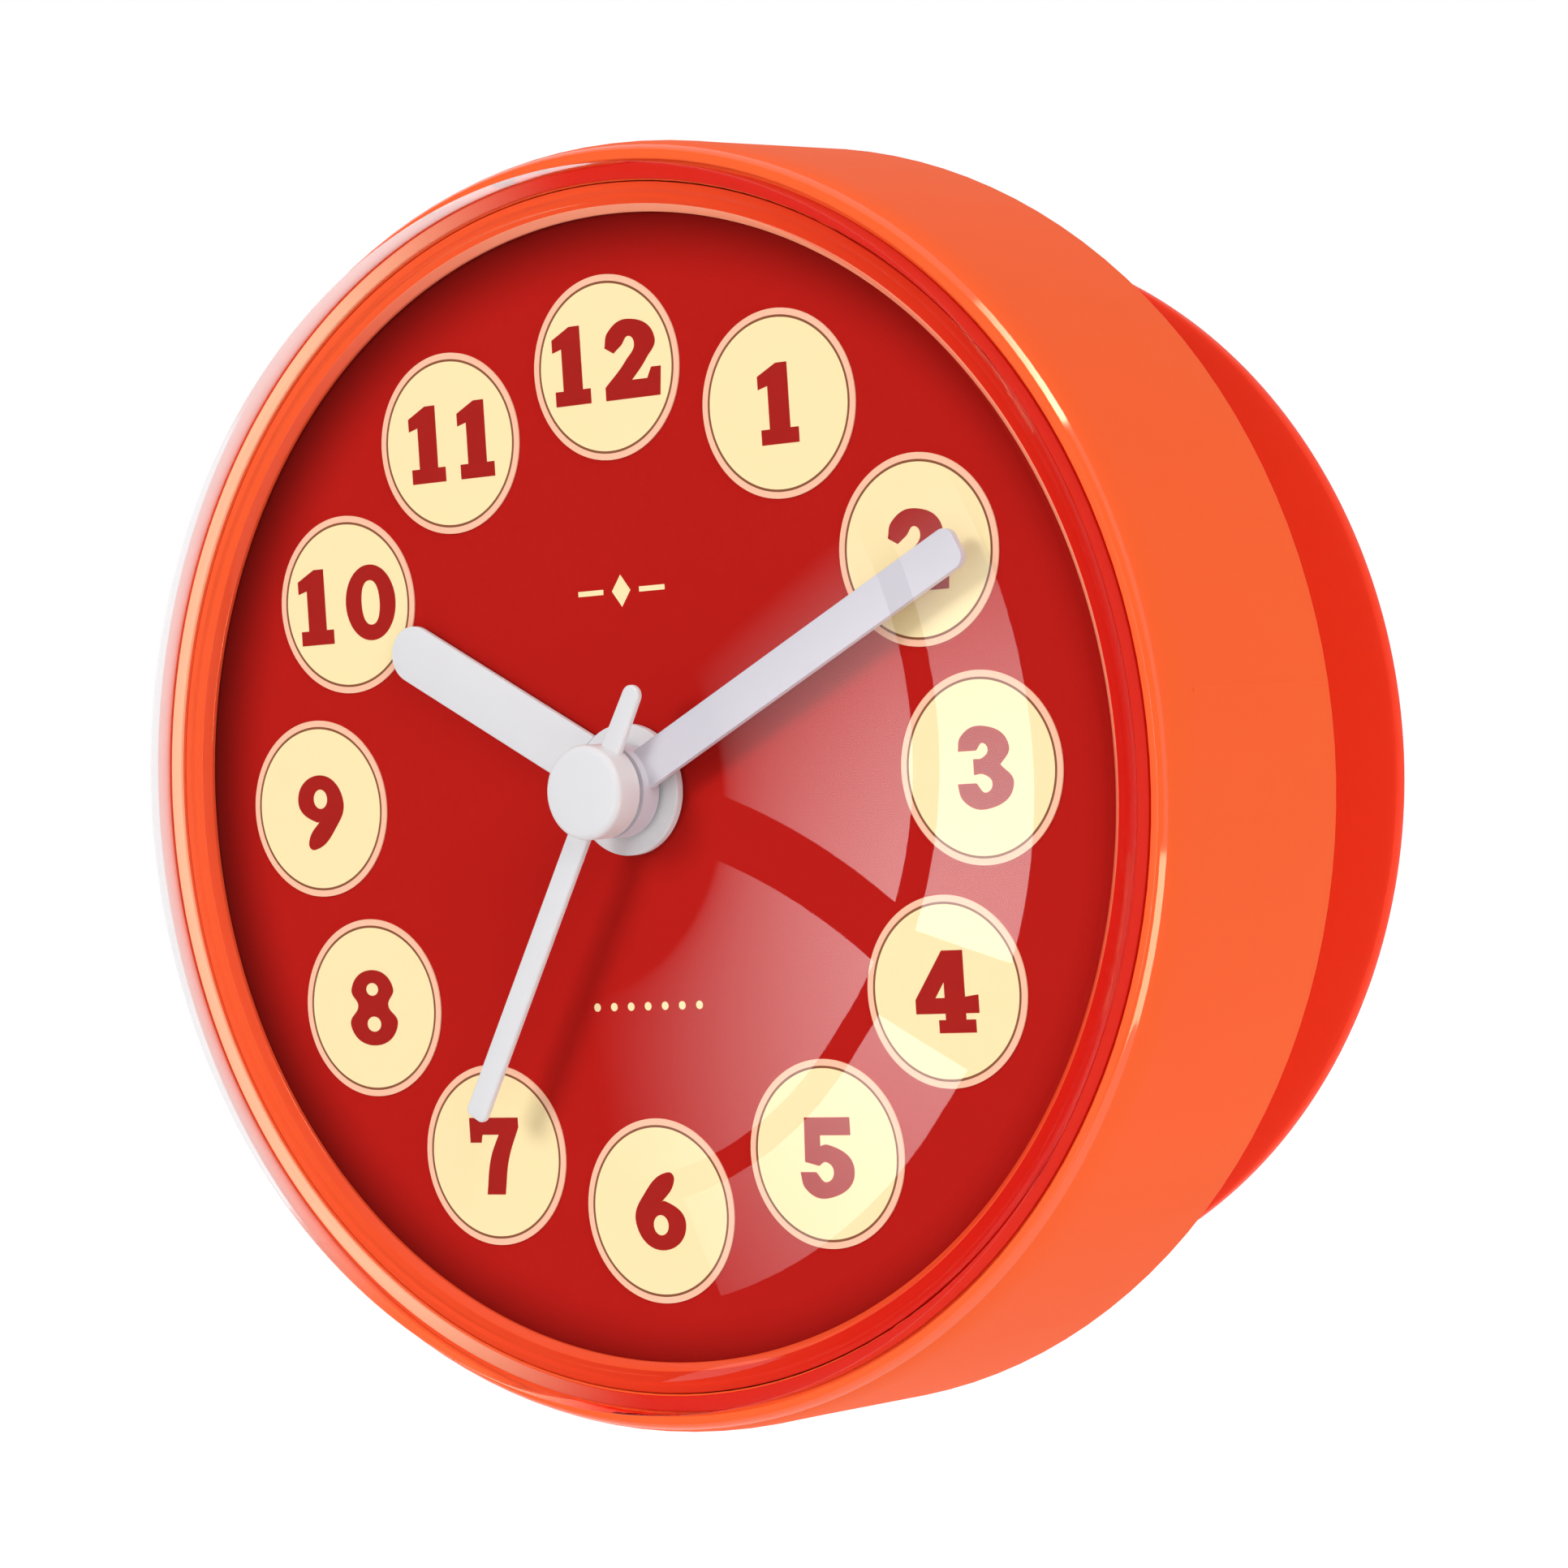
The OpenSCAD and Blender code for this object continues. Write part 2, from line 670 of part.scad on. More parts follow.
module movement_housing() {
    color(black_plastic) upright() difference() {
        union() {
            translate([0, 0, z_mov_back]) linear_extrude(z_mov_front - z_mov_back)
                polygon(rounded_box(mov_half_x, mov_half_y, mov_round));
            lug_pattern() translate([-lug_w / 2 - join, -lug_boss_r, z_lug - lug_t])
                cube([lug_w + 2 * join, 2 * lug_boss_r, lug_t]);
            disc(bush_r, z_bay, z_dial - fit_gap);
        }
        difference() {
            translate([-inner_x, chamber_bottom, z_mov_back - cut])
                cube([2 * inner_x, inner_y - chamber_bottom, z_bay - z_mov_back + cut]);
            for (p = mid_studs) {
                at(p, z_mid + mid_t) cylinder(r = stud_r, h = z_bay);
                at(p, z_mid + mid_t - stud_pin_len) cylinder(r = stud_pin_r, h = z_bay);
            }
            for (p = board_studs) at(p, z_board + board_t) cylinder(r = stud_r, h = z_bay);
        }
        translate([-inner_x, -inner_y, z_mov_back - cut])
            cube([2 * inner_x, bay_h, z_bay - z_mov_back + cut]);
        for (x = [-inner_x, inner_x - contact_t - fit_gap])
            translate([x, bay_top - cut, z_board + board_t / 2 - strip_w])
                cube([contact_t + fit_gap, bay_wall + 2 * cut, 2 * strip_w]);
        disc(bush_bore_r, z_bay - cut, z_dial + cut);
        at(third_at, z_bay - cut) cylinder(r = arbor_r + run_gap, h = z_pivot_front - z_bay + cut + fit_gap);
        at(minute_at, z_bay - cut)
            cylinder(r = setting_r + run_gap, h = z_pivot_front - z_bay + cut + fit_gap);
        lug_pattern() disc(movement_screw[0] + thread_gap, z_lug - lug_t - cut, z_lug + cut);
    }
}

module movement_cover() {
    pivot_h = z_cover_in - z_pivot_back + fit_gap;
    color(black_plastic) upright() difference() {
        translate([fit_gap - inner_x, chamber_bottom + fit_gap, z_mov_back])
            cube([2 * (inner_x - fit_gap), inner_y - chamber_bottom - 2 * fit_gap, plate_t]);
        for (p = [[0, 0], third_at, intermediate_at])
            at(p, z_pivot_back - fit_gap) cylinder(r = arbor_r + run_gap, h = pivot_h + cut);
        at(rotor_at, z_pivot_back - fit_gap) cylinder(r = rotor_arbor_r + run_gap, h = pivot_h + cut);
        at(minute_at, z_mov_back - cut) cylinder(r = setting_r + run_gap, h = plate_t + 2 * cut);
    }
}

module middle_plate() {
    color(steel) upright() translate([0, 0, z_mid]) linear_extrude(mid_t) difference() {
        union() {
            translate([mid_left, chamber_bottom + fit_gap])
                square([mid_right - mid_left, mid_top - chamber_bottom - fit_gap]);
            translate(rotor_at) circle(r = pivot_boss_r);
        }
        for (p = [[0, 0], third_at, intermediate_at]) translate(p) circle(r = arbor_r + run_gap);
        translate(rotor_at) circle(r = rotor_arbor_r + run_gap);
        translate(minute_at) circle(r = setting_r + run_gap);
        for (p = mid_studs) translate(p) circle(r = stud_pin_r + bond_gap);
    }
}

module movement_screws() {
    color(steel) upright() lug_pattern() translate([0, 0, z_lug - lug_t]) screw(movement_screw);
}

module circuit_board() {
    half = inner_x - contact_t - run_gap;
    color([0.10, 0.36, 0.20]) upright() translate([-half, board_y, z_board])
        cube([2 * half, board_h, board_t]);
}

module quartz_crystal() {
    color(steel) upright() translate([crystal_x, board_y + board_h / 2, z_board - crystal_r])
        rotate([0, 90, 0]) cylinder(r = crystal_r, h = crystal_len);
}

module ic_blob() {
    color(black_plastic) upright() translate([blob_x, board_y + board_h / 2, z_board]) intersection() {
        translate([0, 0, blob_r - blob_h]) sphere(r = blob_r, $fn = 48);
        translate([-blob_r, -blob_r, -blob_h]) cube([2 * blob_r, 2 * blob_r, blob_h]);
    }
}

// Lies along +y from the coil's lower end
module along_coil() {
    translate([coil_x, coil_from, z_stator + stator_t / 2]) rotate([-90, 0, 0]) children();
}

module coil_bobbin() {
    color(hand_white) upright() along_coil() difference() {
        union() {
            disc(coil_core_r, 0, coil_len);
            disc(coil_flange_r, 0, coil_flange_t);
            disc(coil_flange_r, coil_len - coil_flange_t, coil_len);
        }
        translate([-limb_w / 2 - bond_gap, -stator_t / 2 - bond_gap, -cut])
            cube([limb_w + 2 * bond_gap, stator_t + 2 * bond_gap, coil_len + 2 * cut]);
    }
}

module coil_winding() {
    color([0.72, 0.36, 0.18]) upright() along_coil() tube(coil_r, coil_core_r + bond_gap,
        coil_flange_t + bond_gap, coil_len - coil_flange_t - bond_gap);
}

module stator() {
    color(steel) upright() translate([0, 0, z_stator]) linear_extrude(stator_t) difference() {
        union() {
            translate(rotor_at) circle(r = stator_pole_r);
            translate([limb_x - limb_w / 2, rotor_at[1]]) square([limb_w, stator_top - rotor_at[1]]);
            translate([limb_x - limb_w / 2, stator_top - limb_w])
                square([coil_x - limb_x + limb_w, limb_w]);
            translate([coil_x - limb_w / 2, rotor_at[1] - limb_w / 2])
                square([limb_w, stator_top - rotor_at[1] + limb_w / 2]);
            translate([rotor_at[0], rotor_at[1] - limb_w / 2])
                square([coil_x - rotor_at[0], limb_w]);
        }
        translate(rotor_at) circle(r = magnet_r + magnet_gap);
    }
}

module rotor() {
    color(black_plastic) upright() at(rotor_at, 0) {
        disc(rotor_arbor_r, z_pivot_back, z_mid + mid_t);
        toothed(rotor_teeth, motor_distance, intermediate_teeth, rotor_phase, z_layer1, gear_t);
        disc(magnet_r, z_stator + stator_t - magnet_h, z_stator + stator_t);
    }
}

module intermediate_wheel() {
    color(hand_white) upright() at(intermediate_at, 0) {
        disc(arbor_r, z_pivot_back, z_mid + mid_t);
        toothed(intermediate_teeth, motor_distance, rotor_teeth, 0, z_layer1, gear_t);
        toothed(intermediate_pinion, second_distance, second_teeth, intermediate_pinion_phase,
            z_layer1 + gear_t - join, 2 * gear_t + gear_gap);
    }
}

module second_wheel() {
    color(hand_white) upright() {
        disc(arbor_r, z_pivot_back, z_cap_top - 2 * hand_gap);
        toothed(second_teeth, second_distance, intermediate_pinion, 0, z_layer2, gear_t);
        toothed(second_pinion, centre_distance, third_teeth, 0, z_layer2 + gear_t - join,
            gear_gap + gear_t + 2 * join);
    }
}

module third_wheel() {
    color(hand_white) upright() at(third_at, 0) {
        disc(arbor_r, z_pivot_back, z_pivot_front);
        toothed(third_teeth, centre_distance, second_pinion, third_phase, z_layer3, gear_t);
        toothed(third_pinion, centre_distance, centre_teeth, 0, z_layer4 - gear_gap / 2,
            gear_t + gear_gap);
    }
}

module centre_wheel() {
    color(brass) upright() toothed(centre_teeth, centre_distance, third_pinion, centre_phase,
        z_layer4, gear_t, minute_pipe_r + run_gap);
}

module minute_pipe() {
    collar = z_layer4 + gear_t + pipe_end_gap;
    color(brass) upright() difference() {
        union() {
            disc(minute_pipe_r, z_mid + mid_t + pipe_end_gap, z_minute_top - fit_gap);
            disc(minute_pipe_r + pipe_collar_w, collar, z_layer5 - gear_gap + join);
            toothed(cannon_teeth, motion_distance, minute_teeth, 0, z_layer5 - gear_gap,
                2 * gear_gap + gear_t);
        }
        disc(minute_pipe_in_r, z_mid, z_minute_top + cut);
    }
}

module minute_wheel() {
    color(hand_white) upright() at(minute_at, 0) {
        disc(setting_r, z_knob + knob_h / 4, z_pivot_front);
        toothed(minute_teeth, motion_distance, cannon_teeth, minute_phase, z_layer5, gear_t);
        toothed(minute_pinion, motion_distance, hour_teeth, 0, z_layer5 + gear_t - join,
            2 * gear_gap + gear_t + 2 * join);
    }
}

module hour_wheel() {
    color(hand_white) upright() difference() {
        union() {
            toothed(hour_teeth, motion_distance, minute_pinion, hour_phase, z_layer6, gear_t);
            disc(hour_pipe_r, z_layer6, z_hour_top);
        }
        disc(hour_pipe_in_r, z_layer6 - cut, z_hour_top + cut);
    }
}

module setting_knob() {
    top = z_mov_back - knob_clear;
    color(cream) upright() at(minute_at, 0) difference() {
        disc(knob_r, z_knob, top);
        disc(setting_r + bond_gap, z_knob + knob_h / 4 - bond_gap, top + cut);
        round_pattern(knob_ribs, knob_r) disc(knob_rib_r, z_knob - cut, top + cut);
    }
}

// Lies along +x with the end of its nub at the plus contact
module battery() {
    from = inner_x - contact_t - run_gap - battery_len;
    color([0.16, 0.22, 0.34]) upright() translate([from, battery_y, z_battery]) rotate([0, 90, 0]) {
        disc(battery_d / 2, 0, battery_len - nub_len);
        disc(nub_r, 0, battery_len);
    }
}

module contact_strip(x) {
    translate([x, battery_y, z_board + (board_t - strip_w) / 2])
        cube([contact_t, board_y + board_h / 2 - battery_y, strip_w]);
}

module battery_contact_plus() {
    x = inner_x - contact_t;
    color(steel) upright() {
        translate([x, battery_y - contact_w / 2, z_battery - contact_w / 2])
            cube([contact_t, contact_w, contact_w]);
        contact_strip(x);
    }
}

// The leaf bends out from the plate to the flat end of the cell
module battery_contact_minus() {
    x = -inner_x;
    leaf = spring_len + contact_t - 2 * run_gap;
    third = contact_w / 3;
    color(steel) upright() {
        translate([x, battery_y - contact_w / 2, z_battery - contact_w / 2])
            cube([contact_t, contact_w, contact_w]);
        translate([x, battery_y, z_battery - contact_w / 4]) linear_extrude(contact_w / 2)
            polygon([[0, -third], [contact_t, -third], [leaf, -third / 2], [leaf, third / 2],
                [leaf - contact_t, third / 2], [leaf - contact_t, -third / 2]]);
        contact_strip(x);
    }
}

module blade(w, length, tip_r, z, t) {
    translate([0, 0, z]) linear_extrude(t) polygon(blade_outline(w, length, tip_r));
}

module hour_hand() {
    color(hand_white) upright() rotate(-hour_angle) difference() {
        union() {
            disc(hour_hub_r, z_hour, z_hour_top);
            blade(hour_w, hour_len, hour_w / 2, z_hour + hour_hub_gap, hour_t - 2 * hour_hub_gap);
        }
        disc(hour_pipe_r + bond_gap, z_hour - cut, z_hour_top + cut);
    }
}

module minute_hand() {
    color(hand_white) upright() rotate(-minute_angle) difference() {
        union() {
            disc(minute_hub_r, z_minute, z_minute_top);
            blade(minute_w, minute_len, minute_w * tip_round_share, z_minute + blade_rise, blade_t);
        }
        disc(minute_pipe_r + bond_gap, z_minute - cut, z_minute_top + cut);
    }
}

module second_hand() {
    tip_w = second_w * tail_tip_share;
    tail = concat([[-second_w / 2, 0]],
        arc([0, tip_w / 2 - second_tail], tip_w / 2, tip_w / 2, 180, 360, round_steps), [[second_w / 2, 0]]);
    color(hand_white) upright() rotate(-second_angle) difference() {
        union() {
            disc(cap_r, z_second, z_cap_top);
            blade(second_w, second_len, second_w * tip_round_share, z_second + blade_rise, blade_t);
            translate([0, 0, z_second + blade_rise]) linear_extrude(blade_t) polygon(tail);
        }
        disc(arbor_r + bond_gap, z_second - cut, z_cap_top - 2 * hand_gap + bond_gap);
    }
}

suction_cup();
cup_stem();
stem_retainer();
retainer_screws();
rear_cover();
rear_seal();
cover_screws();
front_case();
front_ring();
lens_gasket();
lens();
dial_plate();
hour_badges();
movement_housing();
movement_cover();
middle_plate();
movement_screws();
circuit_board();
quartz_crystal();
ic_blob();
coil_bobbin();
coil_winding();
stator();
rotor();
intermediate_wheel();
second_wheel();
third_wheel();
centre_wheel();
minute_pipe();
minute_wheel();
hour_wheel();
setting_knob();
battery();
battery_contact_plus();
battery_contact_minus();
hour_hand();
minute_hand();
second_hand();
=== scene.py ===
import math
import bpy
from mathutils import Matrix, Vector


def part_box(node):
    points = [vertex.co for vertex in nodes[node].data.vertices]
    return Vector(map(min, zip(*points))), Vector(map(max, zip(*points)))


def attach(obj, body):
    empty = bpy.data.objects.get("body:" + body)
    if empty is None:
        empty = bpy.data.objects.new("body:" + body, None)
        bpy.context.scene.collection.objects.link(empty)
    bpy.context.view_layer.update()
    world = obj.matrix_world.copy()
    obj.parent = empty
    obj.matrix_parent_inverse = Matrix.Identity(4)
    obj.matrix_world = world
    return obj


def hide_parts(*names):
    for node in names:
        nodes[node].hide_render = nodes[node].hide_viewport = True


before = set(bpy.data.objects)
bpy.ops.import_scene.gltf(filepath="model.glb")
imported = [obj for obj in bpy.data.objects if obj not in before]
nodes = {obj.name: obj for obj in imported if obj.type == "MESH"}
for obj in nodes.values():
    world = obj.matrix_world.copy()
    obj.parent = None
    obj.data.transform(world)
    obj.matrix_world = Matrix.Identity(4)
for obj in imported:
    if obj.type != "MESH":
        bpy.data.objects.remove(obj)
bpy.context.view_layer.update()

# Sizes are in metres, but outlines of print and of the second hand are in millimetres. Angles are in degrees.
# Heights are measured from the wall to the front, which is -Y.
MM = 0.001
ROUND_SIDES = 256
ARC_STEPS = 8
# Radius where a turned shape starts beside the axis, and the distance within which points are merged
POLE = 0.02 * MM
WELD = POLE / 20
# Bend below which two faces of a copied node become one
FLAT_ANGLE = 0.5
# Turn that lays a flat primitive across the clock's axis, in radians
ACROSS_AXIS = (math.pi / 2, 0, 0)

# Camera, fitted to the badges and the case in the photograph
CAMERA_PLACE = Vector((0.2382, -0.3413, 0.0013))
CAMERA_TURN = 36.87
CAMERA_TILT = -0.25
CAMERA_ROLL = -3.71
CAMERA_LENS = 108.7
CAMERA_SENSOR = 36.0

# Lens, and the side of its edge that is frosted
LENS_ROUND = 0.6 * MM
LENS_RIM_W = 2.8 * MM
LENS_EDGE_H = 2.8 * MM
LENS_EDGE_BAND = LENS_ROUND / 8
LENS_WALL = 2.0 * MM
LENS_FOOT_W = 3.0 * MM
LENS_SOFT_EDGE = 0.08 * MM
LENS_CREASE = 8
DOME_STEPS = 48
FROST_SIDE = (-0.85, 0, 0.53)
FROST_START = -2 * MM
FROST_END = 24 * MM

# Case, rear cover and stem retainer
CORNER_R = 50.6 * MM
CORNER_H = 4.4 * MM
CORNER_POLISH_H = 0.7 * MM
CASE_FLARE = 0.6 * MM
CASE_BACK_ROUND = 0.5 * MM
SHELL_SOFT_EDGES = {"front_case": 0.12 * MM, "rear_cover": 0.2 * MM, "stem_retainer": 0.15 * MM}
MOULD_LINE_TURN = 84.7
MOULD_LINE_W = 0.8 * MM
MOULD_LINE_PROUD = 0.04 * MM
MOULD_LINE_SINK = 0.03 * MM
MOULD_LINE_DEEP = 0.2 * MM
MOULD_LINE_STEPS = (8, 4)

# Dial, front ring and gasket
DIAL_OPEN_R = 46.2 * MM
# The dial's painted shade darkens it from the start radius to the end radius. It is measured from a middle
# moved right and down, so it reaches further in on the left and at the top.
DIAL_SHADE_START = 41.2 * MM
DIAL_SHADE_END = 49.0 * MM
DIAL_SHADE_MIDDLE = (1.65 * MM, 0, -0.78 * MM)
RING_SLOPE = 0.6 * MM
RING_BEAD_H = 0.25 * MM
RING_BEAD_W = 0.6 * MM
RING_SOFT_EDGE = 0.07 * MM
RING_CREASE = 25
GASKET_IN_R = 48.75 * MM
GASKET_CLEAR = 0.02 * MM
GASKET_SOFT_EDGE = 0.1 * MM

# Suction cup and the stem that is moulded into it
CUP_RIM_T = 1.2 * MM
CUP_LAND_W = 6.0 * MM
CUP_HOLLOW_H = 3.6 * MM
CUP_SHOULDER_H = 8.6 * MM
CUP_NECK_R = 14.0 * MM
CUP_BULGE = 1.25
CUP_STEPS = 40
CUP_SOFT_EDGE = 0.25 * MM
CUP_CREASE = 40
LAND_GROOVES = 4
LAND_GROOVE_D = 0.12 * MM
STEM_SHAFT_R = 8.0 * MM
STEM_ANCHOR_T = 2.0 * MM
STEM_FIT = 0.02 * MM

# Badges and printed numbers
HOURS = 12
BADGE_PITCH_R = 34.0 * MM
BADGE_R = 7.46 * MM
BADGE_BAND_W = 0.52 * MM
BADGE_LINE_W = 0.2 * MM
BADGE_SIDES = 96
INK_T = 0.02 * MM
INK_SPREAD = 0.08
CURVE_STEPS = 10
CURVE_EDGE_STEPS = 3
DIGIT_H = 6.2
DIGIT_SPACE = 1.7
NUMBER_SHIFT = {3: (0.35, 0), 5: (0, -0.3), 7: (0, -0.1), 9: (0.1, -0.35), 11: (0.2, 0.1), 12: (0.1, 0.45)}


def height_of(node):
    """Distance from the wall to the front of a node."""
    return -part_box(node)[0].y


def foot_of(node):
    """Distance from the wall to the back of a node."""
    return -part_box(node)[1].y


def radius_of(node):
    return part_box(node)[1].x


def reach_of(face):
    """Distance of a face's middle from the clock's axis."""
    return math.hypot(face.center.x, face.center.z)


def between(first, last, share):
    """The value at a share of the way from one value to another."""
    return first + (last - first) * share


def share_of(value, start, end):
    """How far a value lies between two others, from 0 to 1."""
    return min(max((value - start) / (end - start), 0), 1)


def arc(centre, radius, start, end, steps=ARC_STEPS):
    """Points of a round stretch of a profile; 0 degrees is outwards and 90 to the front."""
    turns = [math.radians(start + (end - start) * i / steps) for i in range(steps + 1)]
    return [(centre[0] + radius * math.cos(a), centre[1] + radius * math.sin(a)) for a in turns]


# Modelling steps

def deselect():
    if bpy.context.object and bpy.context.object.mode != "OBJECT":
        bpy.ops.object.mode_set(mode="OBJECT")
    bpy.ops.object.select_all(action="DESELECT")


def take(piece):
    """Makes one piece the only one selected."""
    deselect()
    piece.select_set(True)
    bpy.context.view_layer.objects.active = piece
    return piece


def link(piece):
    """Puts a new object into the scene."""
    bpy.context.scene.collection.objects.link(piece)
    return piece


def rename(piece, name):
    piece.name = name
    piece.data.name = name
    return piece


def apply_place():
    """Moves the place, turn and scale of the selected piece into its mesh."""
    bpy.ops.object.transform_apply(location=True, rotation=True, scale=True)


def new_piece(name):
    """Names the primitive that was just added and moves its place into its mesh."""
    apply_place()
    return rename(bpy.context.object, name)


def new_grid(name, across, along, size=1, height=0):
    """A flat grid of points, level with the floor."""
    deselect()
    bpy.ops.mesh.primitive_grid_add(x_subdivisions=across, y_subdivisions=along, size=size,
                                    location=(0, 0, height))
    return new_piece(name)


def open_mesh(piece):
    """Opens a piece for editing with all of its mesh selected."""
    take(piece)
    bpy.ops.object.mode_set(mode="EDIT")
    bpy.ops.mesh.select_all(action="SELECT")


def close_mesh():
    """Turns every face outwards and ends the editing."""
    bpy.ops.mesh.select_all(action="SELECT")
    bpy.ops.mesh.normals_make_consistent(inside=False)
    bpy.ops.object.mode_set(mode="OBJECT")


def smooth(piece, angle=30):
    take(piece)
    bpy.ops.object.shade_smooth_by_angle(angle=math.radians(angle))
    return piece


def apply_modifier(piece, kind, **values):
    take(piece)
    modifier = piece.modifiers.new(kind.lower(), kind)
    for key, value in values.items():
        setattr(modifier, key, value)
    bpy.ops.object.modifier_apply(modifier=modifier.name)


def round_edges(piece, width, segments=3, angle=35):
    apply_modifier(piece, "BEVEL", width=width, segments=segments, limit_method="ANGLE",
                   angle_limit=math.radians(angle), use_clamp_overlap=True)


def join(pieces, name):
    take(pieces[0])
    for piece in pieces[1:]:
        piece.select_set(True)
    bpy.ops.object.join()
    return rename(pieces[0], name)


def lathe(name, profile, sides=ROUND_SIDES):
    """Draws a ring out along a profile of (radius, height) pairs; ends on the axis close to a point."""
    deselect()
    radius, height = profile[0]
    bpy.ops.mesh.primitive_circle_add(vertices=sides, radius=radius, location=(0, -height, 0),
                                      rotation=ACROSS_AXIS)
    piece = new_piece(name)
    open_mesh(piece)
    for next_radius, next_height in profile[1:]:
        bpy.ops.mesh.extrude_region_move(TRANSFORM_OT_translate={"value": (0, height - next_height, 0)})
        grow = next_radius / radius
        bpy.ops.transform.resize(value=(grow, 1, grow), center_override=(0, -next_height, 0))
        radius, height = next_radius, next_height
    bpy.ops.mesh.select_all(action="SELECT")
    bpy.ops.mesh.remove_doubles(threshold=WELD)
    bpy.ops.mesh.select_all(action="DESELECT")
    bpy.ops.mesh.select_mode(type="EDGE")
    bpy.ops.mesh.select_non_manifold()
    bpy.ops.mesh.merge(type="COLLAPSE")
    bpy.ops.mesh.select_mode(type="VERT")
    close_mesh()
    return piece


def dressed_copy(node, width):
    """A merged copy of a node's mesh, with its sharp edges rounded."""
    piece = nodes[node].copy()
    piece.data = nodes[node].data.copy()
    piece.parent = None
    for key in list(piece.keys()):
        del piece[key]
    piece.name = "dressed_" + node
    take(link(piece))
    bpy.ops.mesh.customdata_custom_splitnormals_clear()
    open_mesh(piece)
    bpy.ops.mesh.remove_doubles(threshold=WELD)
    bpy.ops.mesh.dissolve_limited(angle_limit=math.radians(FLAT_ANGLE))
    bpy.ops.object.mode_set(mode="OBJECT")
    round_edges(piece, width)
    return smooth(piece)


def copy_at(piece, x, z, turn=0.0):
    """A copy with its own mesh, moved across the dial and turned about its axis, in radians."""
    twin = piece.copy()
    twin.data = piece.data.copy()
    twin.location = (x, 0, z)
    twin.rotation_euler = (0, turn, 0)
    take(link(twin))
    apply_place()
    return twin


def settle(piece, body, slot, *replaced):
    """Ties a finished piece to its body and hides the nodes that it stands for; its slot is not used."""
    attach(piece, body)
    if replaced:
        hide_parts(*replaced)
    return piece


# Shader nodes. A Mix node has several sockets of one name, so its colours are found by number.

MIX_FIRST = 6
MIX_SECOND = 7
MIX_RESULT = 2
NOISE_LOW = 0.3
NOISE_HIGH = 0.7


def add_node(tree, kind, inputs=None, **settings):
    """A shader node with its settings; each input is linked from a socket or set to a plain value."""
    node = tree.nodes.new("ShaderNode" + kind)
    for key, value in settings.items():
        setattr(node, key, value)
    for label, value in (inputs or {}).items():
        if isinstance(value, bpy.types.NodeSocket):
            tree.links.new(value, node.inputs[label])
        else:
            node.inputs[label].default_value = value
    return node


def object_place(tree):
    return add_node(tree, "TexCoord").outputs["Object"]


def noise(tree, place, scale, detail):
    return add_node(tree, "TexNoise", {"Vector": place, "Scale": scale, "Detail": detail}).outputs["Fac"]


def blend_colours(tree, factor, first, second):
    mix = add_node(tree, "Mix", {"Factor": factor, MIX_FIRST: first, MIX_SECOND: second}, data_type="RGBA")
    return mix.outputs[MIX_RESULT]


def ranged(tree, value, low, high):
    """Spreads the middle values of a noise over a range."""
    return add_node(tree, "MapRange", {"Value": value, "From Min": NOISE_LOW, "From Max": NOISE_HIGH,
                                       "To Min": low, "To Max": high}).outputs["Result"]


def bump(tree, height, strength, distance):
    relief = add_node(tree, "Bump", {"Height": height, "Strength": strength, "Distance": distance})
    return relief.outputs["Normal"]


def eased(tree, value, start, end, most=1.0):
    """Rises softly from 0 at a start to its most at an end."""
    return add_node(tree, "MapRange", {"Value": value, "From Min": start, "From Max": end, "To Max": most},
                    interpolation_type="SMOOTHSTEP").outputs["Result"]


def eased_along(tree, direction, start, end, most=1.0):
    """Rises softly along a direction, between two distances from the axis."""
    along = add_node(tree, "VectorMath", {0: object_place(tree), 1: direction}, operation="DOT_PRODUCT")
    return eased(tree, along.outputs["Value"], start, end, most)


# Shader groups, with the scales of their patterns and how deep the relief is

GLOSS_SCALE = 220
PATCH_SCALE = 350
LINE_SCALE = 4000
LINE_STRETCH = (0.05, 1, 1)
GRAIN_DEPTH = 0.05 * MM
LINE_DEPTH = 0.02 * MM
SKIN_OUT = {"Colour": "Color", "Roughness": "Float", "Normal": "Vector"}


def new_group(name, inputs, outputs):
    """A group with named sockets: its tree, the values that enter it and the sockets that leave it."""
    tree = bpy.data.node_groups.new(name, "ShaderNodeTree")
    for side, sockets in (("INPUT", inputs), ("OUTPUT", outputs)):
        for label, kind in sockets.items():
            tree.interface.new_socket(label, in_out=side, socket_type="NodeSocket" + kind)
    return tree, tree.nodes.new("NodeGroupInput").outputs, tree.nodes.new("NodeGroupOutput").inputs


def send_out(tree, leave, *values):
    """Links values to the outputs of a group, in their order."""
    for value, socket in zip(values, leave):
        tree.links.new(value, socket)
    return tree


def moulded_skin_group():
    """Moulded plastic: slow colour drift, patchy gloss and the fine grain of the tool."""
    tree, enter, leave = new_group("moulded_skin", {
        "Colour": "Color", "Drift": "Color", "Drift Scale": "Float", "Grain Scale": "Float", "Grain": "Float",
        "Gloss Low": "Float", "Gloss High": "Float"}, SKIN_OUT)
    place = object_place(tree)
    drift = noise(tree, place, enter["Drift Scale"], detail=3)
    grain = noise(tree, place, enter["Grain Scale"], detail=4)
    patches = noise(tree, place, GLOSS_SCALE, detail=5)
    colour = blend_colours(tree, drift, enter["Colour"], enter["Drift"])
    rough = ranged(tree, patches, enter["Gloss Low"], enter["Gloss High"])
    return send_out(tree, leave, colour, rough, bump(tree, grain, enter["Grain"], GRAIN_DEPTH))


